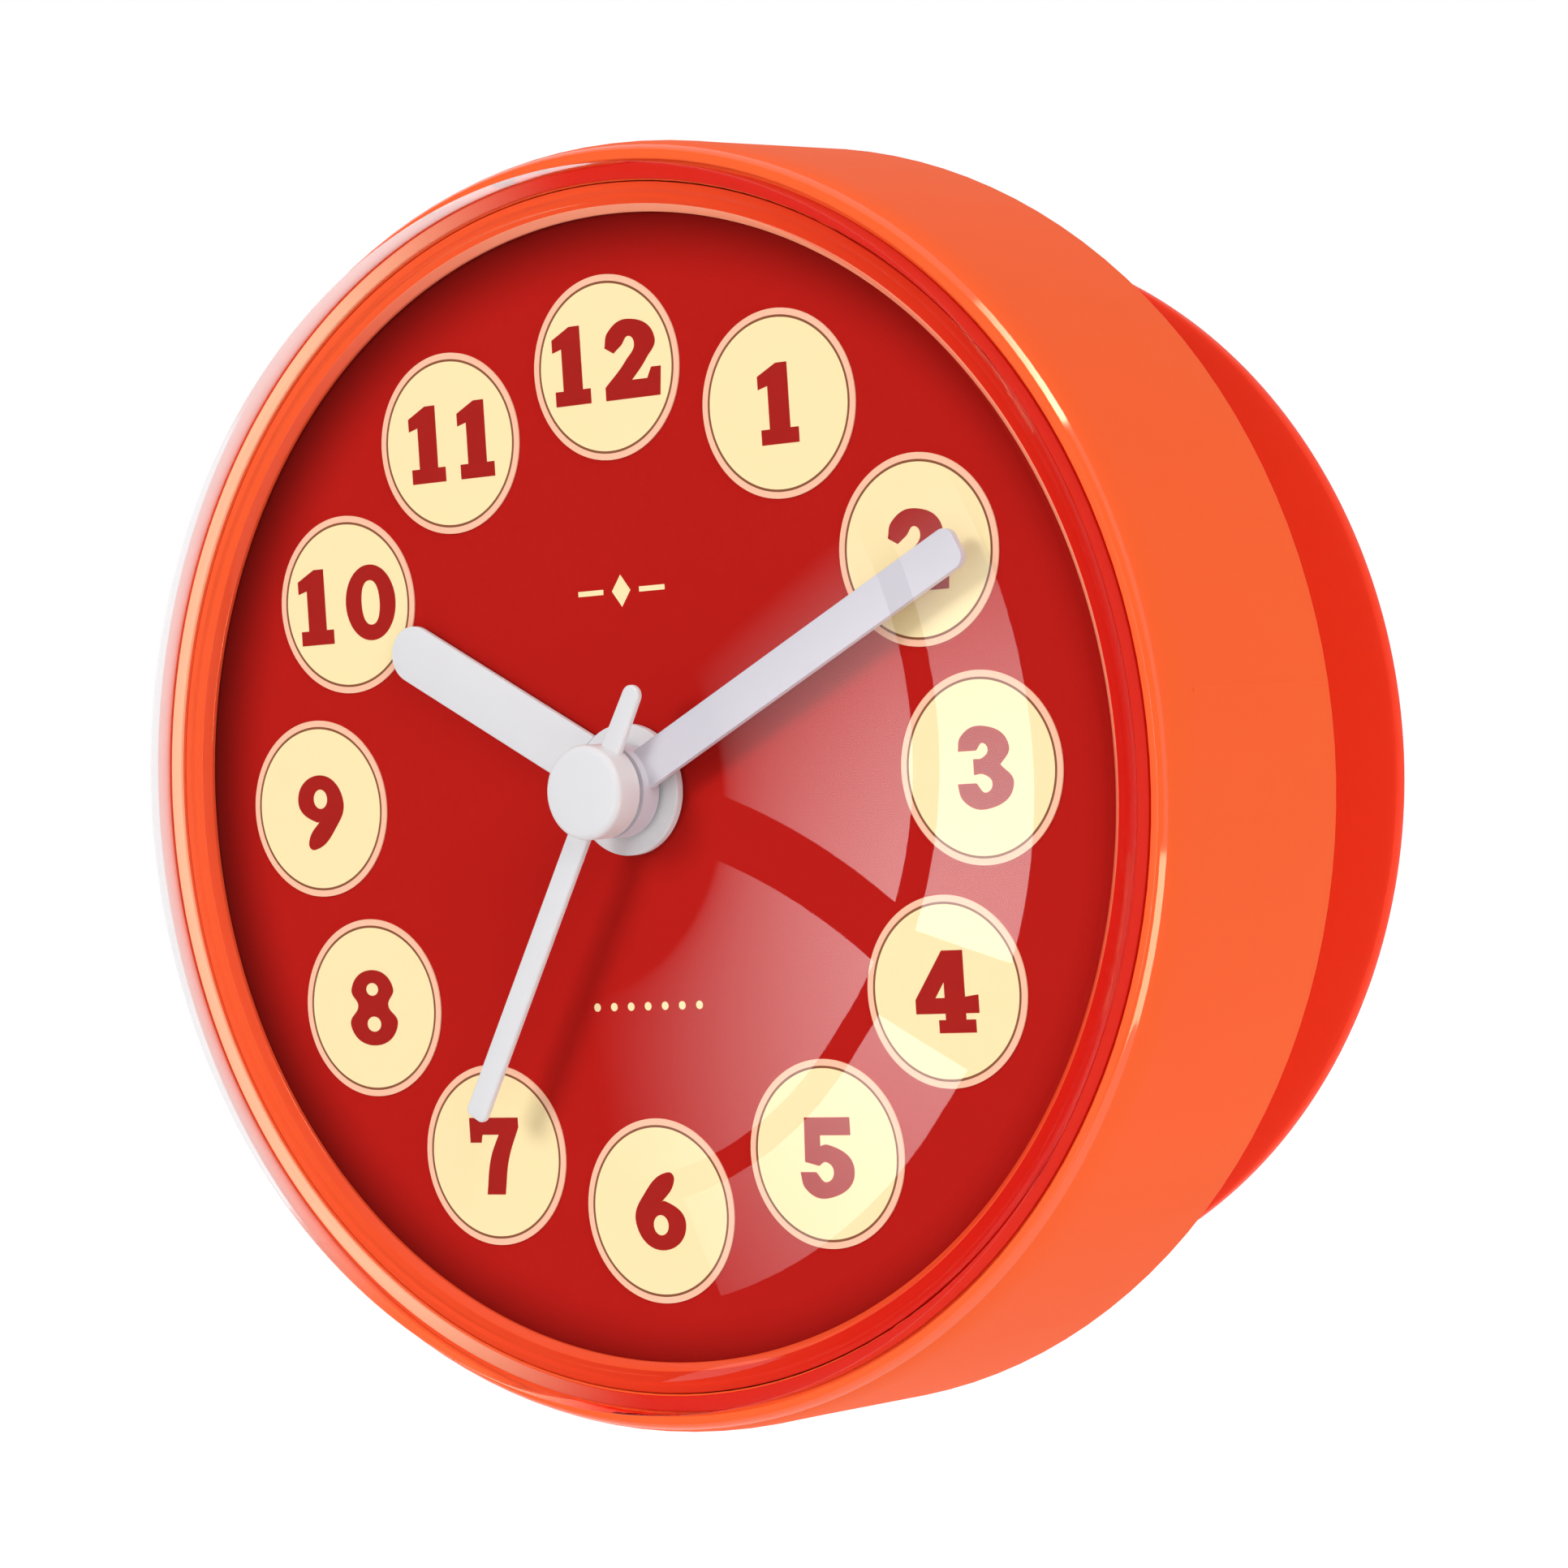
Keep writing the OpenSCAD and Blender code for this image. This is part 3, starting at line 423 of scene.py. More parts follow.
def drawn_metal_group():
    """Metal with fine lines along X from drawing or turning."""
    tree, enter, leave = new_group("drawn_metal", {
        "Colour": "Color", "Tarnish": "Color", "Lines": "Float", "Gloss Low": "Float",
        "Gloss High": "Float"}, SKIN_OUT)
    place = object_place(tree)
    drawn = add_node(tree, "Mapping", {"Vector": place, "Scale": LINE_STRETCH}).outputs["Vector"]
    lines = noise(tree, drawn, LINE_SCALE, detail=3)
    patches = noise(tree, place, PATCH_SCALE, detail=4)
    colour = blend_colours(tree, patches, enter["Colour"], enter["Tarnish"])
    rough = ranged(tree, lines, enter["Gloss Low"], enter["Gloss High"])
    return send_out(tree, leave, colour, rough, bump(tree, lines, enter["Lines"], LINE_DEPTH))


def tone_across_group():
    """Painted light: fades one colour into a lighter tone along a direction, between two distances from the
    axis.
    """
    tree, enter, leave = new_group("painted_light_across", {
        "Colour": "Color", "Tone": "Color", "Direction": "Vector", "Start": "Float",
        "End": "Float"}, {"Colour": "Color"})
    fade = eased_along(tree, enter["Direction"], enter["Start"], enter["End"])
    return send_out(tree, leave, blend_colours(tree, fade, enter["Colour"], enter["Tone"]))


MOULDED_SKIN = moulded_skin_group()
DRAWN_METAL = drawn_metal_group()
PAINTED_LIGHT_ACROSS = tone_across_group()


# Materials

FROST_GREY = (0.78, 0.77, 0.78, 1)
# Dark red of the painted shade at the dial's rim
DIAL_PAINTED_SHADE_RED = (0.096, 0.0026, 0.0019, 1)
# Colour, drift and gloss of the case
CASE_SKIN = ((0.93, 0.125, 0.030), (0.90, 0.112, 0.025), (0.32, 0.44))


def new_material(name):
    material = bpy.data.materials.new(name)
    material.use_nodes = True
    return material


def shader_of(material):
    return material.node_tree.nodes["Principled BSDF"]


def surface_out(tree):
    """The socket that takes a material's finished surface."""
    return tree.nodes["Material Output"].inputs["Surface"]


def set_sockets(shader, sockets):
    for label, value in sockets.items():
        shader.inputs[label.replace("_", " ")].default_value = value


def surface(name, group, values, **sockets):
    """A material whose colour, gloss and relief come from a shader group."""
    material = new_material(name)
    tree = material.node_tree
    shader = shader_of(material)
    skin = add_node(tree, "Group", values, node_tree=group)
    for label, socket in (("Colour", "Base Color"), ("Roughness", "Roughness"), ("Normal", "Normal")):
        tree.links.new(skin.outputs[label], shader.inputs[socket])
    set_sockets(shader, sockets)
    return material


def moulded(name, colour, drift, gloss, grain=0.1, grain_scale=2500, drift_scale=30, **sockets):
    values = {"Colour": (*colour, 1), "Drift": (*drift, 1), "Drift Scale": drift_scale, "Grain": grain,
              "Grain Scale": grain_scale, "Gloss Low": gloss[0], "Gloss High": gloss[1]}
    return surface(name, MOULDED_SKIN, values, **sockets)


def printed(name, colour, drift):
    """Matt print on the badges and the dial."""
    return moulded(name, colour, drift, (0.42, 0.55), grain=0.05, grain_scale=6000, drift_scale=180,
                   Specular_IOR_Level=0.05)


def hand_plastic(name, colour, drift):
    return moulded(name, colour, drift, (0.32, 0.42), grain=0.06, Specular_IOR_Level=0.25)


def metal(name, colour, tarnish, gloss, lines=0.15):
    values = {"Colour": (*colour, 1), "Tarnish": (*tarnish, 1), "Lines": lines, "Gloss Low": gloss[0],
              "Gloss High": gloss[1]}
    return surface(name, DRAWN_METAL, values, Metallic=1.0)


def toned(material, tone, direction, start, end):
    """Paints light into a material's colour: it fades into a second, lighter tone along a direction across
    the dial.
    """
    tree = material.node_tree
    base = shader_of(material).inputs["Base Color"]
    values = {"Colour": base.links[0].from_socket, "Tone": (*tone, 1), "Direction": direction, "Start": start,
              "End": end}
    tree.links.new(add_node(tree, "Group", values, node_tree=PAINTED_LIGHT_ACROSS).outputs["Colour"], base)


def mix_in(tree, share, shader):
    """Mixes a share of a second shader into a material's surface."""
    out = surface_out(tree)
    mix = add_node(tree, "MixShader", {"Fac": share, 1: out.links[0].from_socket, 2: shader})
    tree.links.new(mix.outputs["Shader"], out)


def pass_light(material, ray):
    """Lets one kind of ray through a material, so that light reaches what is behind it."""
    tree = material.node_tree
    path = add_node(tree, "LightPath")
    mix_in(tree, path.outputs[ray], add_node(tree, "BsdfTransparent").outputs["BSDF"])


def frost_over(material, share):
    """An edge ground on one side, which glows with the light behind it where it is seen from inside."""
    tree = material.node_tree
    inside = add_node(tree, "NewGeometry").outputs["Backfacing"]
    side = eased_along(tree, FROST_SIDE, FROST_START, FROST_END, share)
    frosted = add_node(tree, "Math", {0: inside, 1: side}, operation="MULTIPLY")
    mix_in(tree, frosted.outputs[0], add_node(tree, "BsdfTranslucent", {"Color": FROST_GREY}).outputs["BSDF"])


def clear_plastic(name, coat, bend=1.0, frost=0.0):
    """Clear acrylic with faint smears. Its coat carries the gloss, and only its edge bends light a little."""
    material = moulded(name, (1, 1, 1), (0.98, 0.99, 1), (0.0, 0.012), grain=0.004, grain_scale=400,
                       Transmission_Weight=1.0, IOR=bend, Coat_Weight=coat, Coat_IOR=1.49,
                       Coat_Roughness=0.012)
    if frost:
        frost_over(material, frost)
    pass_light(material, "Is Shadow Ray")
    pass_light(material, "Is Diffuse Ray")
    return material


def dial_ink():
    """Red printed dial with painted shade: darker towards its rim, and further in on the left and at the top.
    """
    material = moulded("dial_red", (0.48, 0.0125, 0.0090), (0.46, 0.0110, 0.0080), (0.38, 0.5), grain=0.05,
                       grain_scale=6000, drift_scale=60, Specular_IOR_Level=0.0)
    tree = material.node_tree
    base = shader_of(material).inputs["Base Color"]
    # Painted shade: the colour darkens to the rim red with the distance from the shifted middle
    place = object_place(tree)
    centred = add_node(tree, "VectorMath", {0: place, 1: DIAL_SHADE_MIDDLE}, operation="SUBTRACT")
    flat = add_node(tree, "VectorMath", {0: centred.outputs["Vector"], 1: (1, 0, 1)}, operation="MULTIPLY")
    reach = add_node(tree, "VectorMath", {0: flat.outputs["Vector"]}, operation="LENGTH")
    fade = eased(tree, reach.outputs["Value"], DIAL_SHADE_START, DIAL_SHADE_END)
    tree.links.new(blend_colours(tree, fade, base.links[0].from_socket, DIAL_PAINTED_SHADE_RED), base)
    return material


case_orange = moulded("case_orange", *CASE_SKIN, Specular_IOR_Level=0.0, Coat_Weight=0.16, Coat_Roughness=0.3)
case_corner = moulded("case_corner", *CASE_SKIN, grain=0.02, Specular_IOR_Level=0.0, Coat_Weight=1.0,
                      Coat_Roughness=0.08)
# The ring's red with painted light: deep red as if shaded on the right, fading to a lit orange towards the
# left and a little towards the top
ring_orange = moulded("ring_orange", (0.66, 0.012, 0.006), (0.63, 0.010, 0.005), (0.10, 0.18), grain=0.015,
                      Specular_IOR_Level=0.08)
toned(ring_orange, tone=(0.93, 0.105, 0.028), direction=(-0.95, 0, 0.31), start=-45 * MM, end=45 * MM)
# Painted highlight on the ring's inner slope: a lighter orange that fades to peach towards the upper right
ring_edge_painted_highlight = moulded("ring_edge_painted_highlight", (0.86, 0.085, 0.025), (0.82, 0.075, 0.022), (0.10, 0.18), grain=0.04,
                    Specular_IOR_Level=0.25)
toned(ring_edge_painted_highlight, tone=(0.97, 0.33, 0.19), direction=(0.6, 0, 0.8), start=5 * MM, end=42 * MM)
cup_pvc = moulded("cup_pvc", (0.94, 0.054, 0.018), (0.90, 0.046, 0.015), (0.28, 0.42), grain=0.12,
                  Subsurface_Weight=0.25, Subsurface_Scale=0.002, Specular_IOR_Level=0.05, Coat_Weight=0.06,
                  Coat_Roughness=0.3)
# The gasket's deep red, with a painted highlight that fades to peach towards the left
gasket_red_painted_highlight = moulded("gasket_red_painted_highlight", (0.68, 0.014, 0.005), (0.65, 0.012, 0.004), (0.35, 0.5),
                     Specular_IOR_Level=0.1)
toned(gasket_red_painted_highlight, tone=(0.97, 0.50, 0.30), direction=(-1, 0, 0), start=0, end=35 * MM)
seal_black = moulded("seal_black", (0.012, 0.012, 0.012), (0.02, 0.02, 0.02), (0.45, 0.6))
stem_orange = moulded("stem_orange", (0.68, 0.075, 0.022), (0.62, 0.062, 0.018), (0.3, 0.42))
# Red print, with painted shade at its rim
dial_red = dial_ink()
badge_cream = printed("badge_cream", (0.97, 0.79, 0.44), (0.95, 0.77, 0.42))
badge_band = printed("badge_band", (0.95, 0.55, 0.38), (0.93, 0.51, 0.34))
badge_line = moulded("badge_line", (0.28, 0.090, 0.040), (0.24, 0.075, 0.032), (0.42, 0.55), grain=0.05,
                     Specular_IOR_Level=0.05)
number_red = printed("number_red", (0.40, 0.0116, 0.0080), (0.36, 0.0100, 0.0070))
hand_white = hand_plastic("hand_white", (0.73, 0.72, 0.735), (0.70, 0.69, 0.705))
hand_lilac = hand_plastic("hand_lilac", (0.60, 0.570, 0.625), (0.575, 0.545, 0.60))
movement_black = moulded("movement_black", (0.016, 0.016, 0.018), (0.024, 0.024, 0.026), (0.4, 0.55),
                         grain=0.2)
gear_white = moulded("gear_white", (0.78, 0.76, 0.71), (0.74, 0.72, 0.66), (0.3, 0.42))
knob_ivory = moulded("knob_ivory", (0.80, 0.70, 0.50), (0.75, 0.65, 0.45), (0.3, 0.42))
board_green = moulded("board_green", (0.012, 0.11, 0.035), (0.016, 0.14, 0.045), (0.25, 0.4), grain=0.3,
                      grain_scale=1500, drift_scale=400)
resin_black = moulded("resin_black", (0.010, 0.010, 0.011), (0.016, 0.016, 0.017), (0.12, 0.25))
battery_jacket = moulded("battery_jacket", (0.022, 0.040, 0.095), (0.018, 0.034, 0.085), (0.12, 0.2),
                         grain=0.02)
steel = metal("steel", (0.56, 0.57, 0.59), (0.48, 0.49, 0.51), (0.22, 0.38))
brass = metal("brass", (0.62, 0.40, 0.10), (0.55, 0.34, 0.08), (0.2, 0.35))
copper_wire = metal("copper_wire", (0.50, 0.17, 0.06), (0.42, 0.13, 0.045), (0.25, 0.4), lines=0.6)
lens_clear = clear_plastic("lens_clear", coat=1.0)
lens_inside = clear_plastic("lens_inside", coat=0.0)
lens_corner = clear_plastic("lens_corner", coat=0.05, bend=1.03)
lens_edge = clear_plastic("lens_edge", coat=0.2, bend=1.03, frost=0.7)

NODE_FINISH = {
    cup_pvc: ["suction_cup"],
    stem_orange: ["cup_stem"],
    case_orange: ["stem_retainer", "rear_cover", "front_case"],
    ring_orange: ["front_ring"],
    gasket_red_painted_highlight: ["lens_gasket"],
    seal_black: ["rear_seal"],
    lens_clear: ["lens"],
    dial_red: ["dial_plate"],
    badge_cream: ["hour_badges"],
    hand_white: ["hour_hand", "second_hand"],
    hand_lilac: ["minute_hand"],
    movement_black: ["movement_housing", "movement_cover"],
    gear_white: ["coil_bobbin", "intermediate_wheel", "second_wheel", "third_wheel", "minute_wheel",
                 "hour_wheel"],
    knob_ivory: ["setting_knob"],
    board_green: ["circuit_board"],
    resin_black: ["ic_blob", "rotor"],
    battery_jacket: ["battery"],
    steel: ["retainer_screws", "cover_screws", "middle_plate", "movement_screws", "quartz_crystal", "stator",
            "battery_contact_plus", "battery_contact_minus"],
    brass: ["centre_wheel", "minute_pipe"],
    copper_wire: ["coil_winding"],
}


def paint(piece, *finishes):
    """Gives a piece its materials, the first of them all over."""
    piece.data.materials.clear()
    for finish in finishes:
        piece.data.materials.append(finish)
    return piece


for finish, names in NODE_FINISH.items():
    for name in names:
        paint(nodes[name], finish)


# Case, rear cover and stem retainer

CASE_TOP = height_of("front_case")
CASE_BACK = foot_of("front_case")
CASE_R = radius_of("front_case")


def polish_corner(shell):
    """The round front corner of the case is glossier than its side."""
    shell.data.materials.append(case_corner)
    polished = len(shell.data.materials) - 1
    for face in shell.data.polygons:
        if reach_of(face) > CORNER_R and face.center.y < CORNER_POLISH_H - CASE_TOP:
            face.material_index = polished


def build_mould_lines():
    """The low ridges that the two halves of a mould leave along the side of the case."""
    back = CASE_BACK + CASE_BACK_ROUND
    front = CASE_TOP - CORNER_H
    ridge = paint(new_grid("mould_line", *MOULD_LINE_STEPS), case_orange)
    for vertex in ridge.data.vertices:
        across = 2 * vertex.co.x
        along = 0.5 - vertex.co.y
        rise = MOULD_LINE_PROUD - (MOULD_LINE_PROUD + MOULD_LINE_SINK) * across ** 2
        radius = CASE_R - CASE_FLARE * along + rise
        angle = math.radians(MOULD_LINE_TURN) + across * MOULD_LINE_W / 2 / radius
        vertex.co = (radius * math.sin(angle), -between(back, front, along), radius * math.cos(angle))
    apply_modifier(ridge, "SOLIDIFY", thickness=MOULD_LINE_DEEP, offset=-1)
    twin = copy_at(ridge, 0, 0, math.pi)
    return settle(smooth(join([ridge, twin], "mould_lines")), "clock_case", "case_plastic")


for node, width in SHELL_SOFT_EDGES.items():
    shell = dressed_copy(node, width)
    if node == "front_case":
        polish_corner(shell)
    settle(shell, "clock_case", "case_plastic", node)
build_mould_lines()


# Lens, ring and gasket

LENS_R = radius_of("lens")
LENS_RIM_H = foot_of("lens") + LENS_EDGE_H
DOME_R = LENS_R - LENS_RIM_W
DOME_H = height_of("lens") - LENS_RIM_H
DOME_BALL = (DOME_R ** 2 + DOME_H ** 2) / (2 * DOME_H)
DOME_MIDDLE = height_of("lens") - DOME_BALL


def lens_profile():
    """Dome, round corner, upright edge, foot and the inside of the dome."""
    foot = foot_of("lens")
    foot_in_r = LENS_R - LENS_FOOT_W
    middle = (0, DOME_MIDDLE)
    corner = (LENS_R - LENS_ROUND, LENS_RIM_H - LENS_ROUND)
    inner_ball = DOME_BALL - LENS_WALL
    outer_end = math.degrees(math.acos(DOME_R / DOME_BALL))
    inner_end = math.degrees(math.acos(foot_in_r / inner_ball))
    pole_turn = 90 - math.degrees(POLE / DOME_BALL)
    profile = arc(middle, DOME_BALL, pole_turn, outer_end, DOME_STEPS)
    profile += arc(corner, LENS_ROUND, 90, 0, 2 * ARC_STEPS)
    profile += [(LENS_R, foot), (foot_in_r, foot)]
    return profile + arc(middle, inner_ball, inner_end, pole_turn, DOME_STEPS)


def lens_finish(face):
    """The finish of a face of the lens, by its place and the side that it faces."""
    reach = reach_of(face)
    if reach > LENS_R - LENS_EDGE_BAND:
        return lens_edge
    if reach > LENS_R - LENS_ROUND and face.normal.y < 0:
        return lens_corner
    if reach > DOME_R or face.normal.y > 0:
        return lens_inside
    return lens_clear


def build_lens():
    finishes = [lens_clear, lens_inside, lens_edge, lens_corner]
    piece = paint(lathe("clear_lens", lens_profile()), *finishes)
    for face in piece.data.polygons:
        face.material_index = finishes.index(lens_finish(face))
    round_edges(piece, LENS_SOFT_EDGE, segments=2)
    return settle(smooth(piece, LENS_CREASE), "clock_case", "lens_clear", "lens")


def build_front_ring():
    base = foot_of("front_ring")
    top = height_of("front_ring")
    radius = radius_of("front_ring")
    level = top - RING_BEAD_H
    bead_r = radius - RING_BEAD_W
    slope_r = DIAL_OPEN_R + RING_SLOPE
    profile = [(DIAL_OPEN_R, base), (radius, base), (radius, top), (bead_r, top),
               (bead_r - RING_BEAD_H, level), (slope_r, level), (DIAL_OPEN_R, level - RING_SLOPE),
               (DIAL_OPEN_R, base)]
    finishes = [ring_orange, ring_edge_painted_highlight]
    piece = paint(lathe("glossy_ring", profile), *finishes)
    # The inner slope takes the painted highlight; the rest takes the ring's red with painted light
    for face in piece.data.polygons:
        face.material_index = finishes.index(ring_edge_painted_highlight if reach_of(face) < slope_r else ring_orange)
    round_edges(piece, RING_SOFT_EDGE, angle=RING_CREASE)
    return settle(smooth(piece), "clock_case", "ring_plastic", "front_ring")


def build_gasket():
    base = foot_of("lens_gasket")
    top = height_of("lens_gasket") - GASKET_CLEAR
    radius = radius_of("lens_gasket")
    profile = [(GASKET_IN_R, base), (radius, base), (radius, top), (GASKET_IN_R, top), (GASKET_IN_R, base)]
    piece = paint(lathe("soft_gasket", profile), gasket_red_painted_highlight)
    round_edges(piece, GASKET_SOFT_EDGE)
    return settle(smooth(piece), "clock_case", "gasket_rubber", "lens_gasket")


build_lens()
build_front_ring()
build_gasket()


# Suction cup

def cup_hollow(land_r):
    """The hollow side of the cup, from its middle to its land."""
    return [(max(land_r * i / CUP_STEPS, POLE), CUP_HOLLOW_H * (1 - (i / CUP_STEPS) ** 2))
            for i in range(CUP_STEPS + 1)]


def cup_land(land_r):
    """The flat land on the wall, with its fine grooves."""
    pitch = CUP_LAND_W / (LAND_GROOVES + 1)
    half_groove = pitch / 5
    land = []
    for i in range(1, LAND_GROOVES + 1):
        middle = land_r + i * pitch
        land += [(middle - half_groove, 0), (middle, LAND_GROOVE_D), (middle + half_groove, 0)]
    return land


def cup_outside(rim_r):
    """The outer side, bulging from the rim to the neck."""
    width = rim_r - CUP_NECK_R
    rise = CUP_SHOULDER_H - CUP_RIM_T
    return [(rim_r - width * i / CUP_STEPS, CUP_RIM_T + rise * (1 - (1 - i / CUP_STEPS) ** CUP_BULGE))
            for i in range(CUP_STEPS + 1)]


def stem_seat():
    """The room in the cup's neck that holds the stem and its anchor."""
    top = height_of("suction_cup")
    stem_low = foot_of("cup_stem")
    floor = stem_low - STEM_FIT
    shaft_r = STEM_SHAFT_R + STEM_FIT
    anchor_r = radius_of("cup_stem") + STEM_FIT
    anchor_top = stem_low + STEM_ANCHOR_T + STEM_FIT
    return [(CUP_NECK_R, top), (shaft_r, top), (shaft_r, anchor_top), (anchor_r, anchor_top),
            (anchor_r, floor), (POLE, floor)]


def build_cup():
    rim_r = radius_of("suction_cup")
    land_r = rim_r - CUP_LAND_W
    profile = cup_hollow(land_r) + cup_land(land_r) + [(rim_r, 0)] + cup_outside(rim_r) + stem_seat()
    piece = paint(lathe("soft_cup", profile), cup_pvc)
    round_edges(piece, CUP_SOFT_EDGE, angle=CUP_CREASE)
    return settle(smooth(piece, CUP_CREASE), "wall_mount", "cup_pvc", "suction_cup")


build_cup()


# Hour badges with their printed line

def hour_place(hour):
    turn = math.radians(360 * hour / HOURS)
    return BADGE_PITCH_R * math.sin(turn), BADGE_PITCH_R * math.cos(turn)


def finish_selected(piece, index):
    """Gives the selected faces one of a piece's materials."""
    piece.active_material_index = index
    bpy.ops.object.material_slot_assign()


def model_badge():
    """One disc at the middle of the dial: a cream face, a thin line and a wider band round it."""
    base = foot_of("hour_badges")
    rise = base - height_of("hour_badges")
    finishes = [badge_cream, badge_band, badge_line]
    deselect()
    bpy.ops.mesh.primitive_circle_add(vertices=BADGE_SIDES, radius=BADGE_R, fill_type="NGON",
                                      location=(0, -base, 0), rotation=ACROSS_AXIS)
    disc = paint(new_piece("badge"), *finishes)
    open_mesh(disc)
    finish_selected(disc, finishes.index(badge_band))
    bpy.ops.mesh.extrude_region_move(TRANSFORM_OT_translate={"value": (0, rise, 0)})
    for width, finish in ((BADGE_BAND_W, badge_line), (BADGE_LINE_W, badge_cream)):
        bpy.ops.mesh.inset(thickness=width)
        finish_selected(disc, finishes.index(finish))
    close_mesh()
    return disc


def build_badges():
    pattern = model_badge()
    discs = [copy_at(pattern, *hour_place(hour)) for hour in range(1, HOURS + 1)]
    bpy.data.objects.remove(pattern)
    return settle(join(discs, "badge_discs"), "clock_case", "badge_cream", "hour_badges")


build_badges()


# Printed numbers: outlines from the baseline; a third value of 1 marks a round knot

def oval(x, y, rx, ry):
    return [(x + rx, y, 1), (x, y + ry, 1), (x - rx, y, 1), (x, y - ry, 1)]


SIX_W = 4.95
SIX = [[(3.25, 6.1, 1), (1.15, 4.6, 1), (0, 2.1, 1), (2.48, 0, 1), (SIX_W, 1.95, 1), (3.05, 3.8, 1),
        (2.5, 3.75), (3.95, 5.4, 1), (3.9, 6.0, 1)], oval(2.48, 1.95, 0.85, 0.9)]
DIGITS = {
    "0": [oval(2.7, 3.1, 2.7, 3.1), oval(2.7, 3.1, 1.1, 1.95)],
    "1": [[(0.1, 0), (3.6, 0), (3.6, 1.05), (2.8, 1.05), (2.8, 6.2), (1.8, 6.2), (0, 5.3), (0, 4.4),
           (0.95, 4.65), (0.95, 1.05), (0.1, 1.05)]],
    "2": [[(0, 0), (5.4, 0), (5.6, 2.15), (4.75, 2.15), (4.3, 1.3), (2.5, 1.3), (4.2, 3.0, 1),
           (5.15, 4.55, 1), (2.7, 6.2, 1), (0.5, 5.3, 1), (0.15, 4.2), (0.95, 3.75), (1.75, 4.3),
           (2.55, 5.0, 1), (3.2, 4.35, 1), (2.2, 2.9, 1), (0, 0.95)]],
    "3": [[(0.2, 4.5), (0.45, 5.45, 1), (2.45, 6.2, 1), (4.75, 4.65, 1), (3.85, 3.25), (5, 1.75, 1),
           (2.5, 0, 1), (0.35, 0.75, 1), (0, 1.85), (1.6, 1.85), (2.45, 1.1, 1), (3.2, 1.85, 1),
           (2.4, 2.65, 1), (1.55, 2.65), (1.55, 3.7), (2.3, 3.75, 1), (2.95, 4.45, 1), (2.4, 5.05, 1),
           (1.75, 4.5)]],
    "4": [[(2.1, 0), (5.4, 0), (5.4, 0.85), (4.5, 0.85), (4.5, 1.5), (5.75, 1.5), (5.75, 2.75), (4.5, 2.6),
           (4.5, 6.2), (2.65, 6.2), (0, 2.5), (0, 1.5), (2.75, 1.5), (2.75, 0.85), (2.1, 0.85)],
          [(2.75, 2.55), (2.75, 4.1), (1.65, 2.55)]],
    "5": [[(0.65, 6.2), (4.9, 6.2), (4.9, 4.95), (1.95, 4.95), (1.9, 3.9), (2.7, 4.05, 1), (5.1, 2.05, 1),
           (2.5, 0, 1), (0.35, 0.75, 1), (0, 1.9), (1.4, 1.9), (2.4, 1.1, 1), (3.25, 2.0, 1), (2.45, 2.85, 1),
           (1.75, 2.55), (0.5, 2.85)]],
    "6": SIX,
    "7": [[(0, 6.2), (5.1, 6.2), (5.1, 5.5), (3.9, 2.9, 1), (3.3, 0), (1.5, 0), (2.1, 2.9, 1), (3.15, 4.95),
           (1.2, 4.95), (1.05, 4.3), (0, 4.3)]],
    "8": [[(2.55, 6.2, 1), (4.8, 4.7, 1), (4.15, 3.3, 1), (5.1, 1.7, 1), (2.55, 0, 1), (0, 1.7, 1),
           (0.95, 3.3, 1), (0.3, 4.7, 1)], oval(2.55, 4.65, 0.75, 0.62), oval(2.55, 1.72, 0.85, 0.72)],
    "9": [[(SIX_W - x, DIGIT_H - y, *soft) for x, y, *soft in contour] for contour in SIX],
}


def digit_width(digit):
    return max(knot[0] for contour in DIGITS[digit] for knot in contour)


def add_contour(curve, contour, across, up):
    spline = curve.splines.new("BEZIER")
    spline.bezier_points.add(len(contour) - 1)
    for knot, (x, y, *soft) in zip(spline.bezier_points, contour):
        knot.co = (x + across, y + up, 0)
        knot.handle_left_type = knot.handle_right_type = "AUTO" if soft else "VECTOR"
    spline.use_cyclic_u = True


def flat_solid(name, contours, place, height, thick=INK_T, turn=0.0, edge=0.0, spread=0.0):
    """A solid from flat outlines in millimetres, laid on a surface at a height from the wall."""
    curve = bpy.data.curves.new(name, "CURVE")
    curve.dimensions = "2D"
    curve.fill_mode = "BOTH"
    curve.resolution_u = CURVE_STEPS
    curve.extrude = (thick / 2 - edge) / MM
    curve.bevel_depth = edge / MM
    curve.bevel_resolution = CURVE_EDGE_STEPS
    curve.offset = spread - edge / MM
    for contour, across, up in contours:
        add_contour(curve, contour, across, up)
    take(link(bpy.data.objects.new(name, curve)))
    bpy.ops.object.convert(target="MESH")
    piece = bpy.context.object
    piece.scale = (MM, MM, MM)
    piece.rotation_euler = (math.pi / 2, math.radians(turn), 0)
    piece.location = (place[0], -height - thick / 2, place[1])
    apply_place()
    open_mesh(piece)
    bpy.ops.mesh.remove_doubles(threshold=WELD)
    close_mesh()
    return piece


def number_contours(hour):
    """The outlines of an hour's digits, side by side about the middle of its badge."""
    digits = str(hour)
    total = sum(digit_width(digit) for digit in digits) + DIGIT_SPACE * (len(digits) - 1)
    right, up = NUMBER_SHIFT.get(hour, (0, 0))
    across = right - total / 2
    contours = []
    for digit in digits:
        contours += [(contour, across, up - DIGIT_H / 2) for contour in DIGITS[digit]]
        across += digit_width(digit) + DIGIT_SPACE
    return contours


def build_numbers():
    top = height_of("hour_badges")
    numbers = [flat_solid(f"number_{hour}", number_contours(hour), hour_place(hour), top, spread=INK_SPREAD)
               for hour in range(1, HOURS + 1)]
    return settle(paint(join(numbers, "printed_numbers"), number_red), "clock_case", "dial_red")


build_numbers()


# Plain ornaments above and below the hands: a diamond between two dashes, and a row of dots

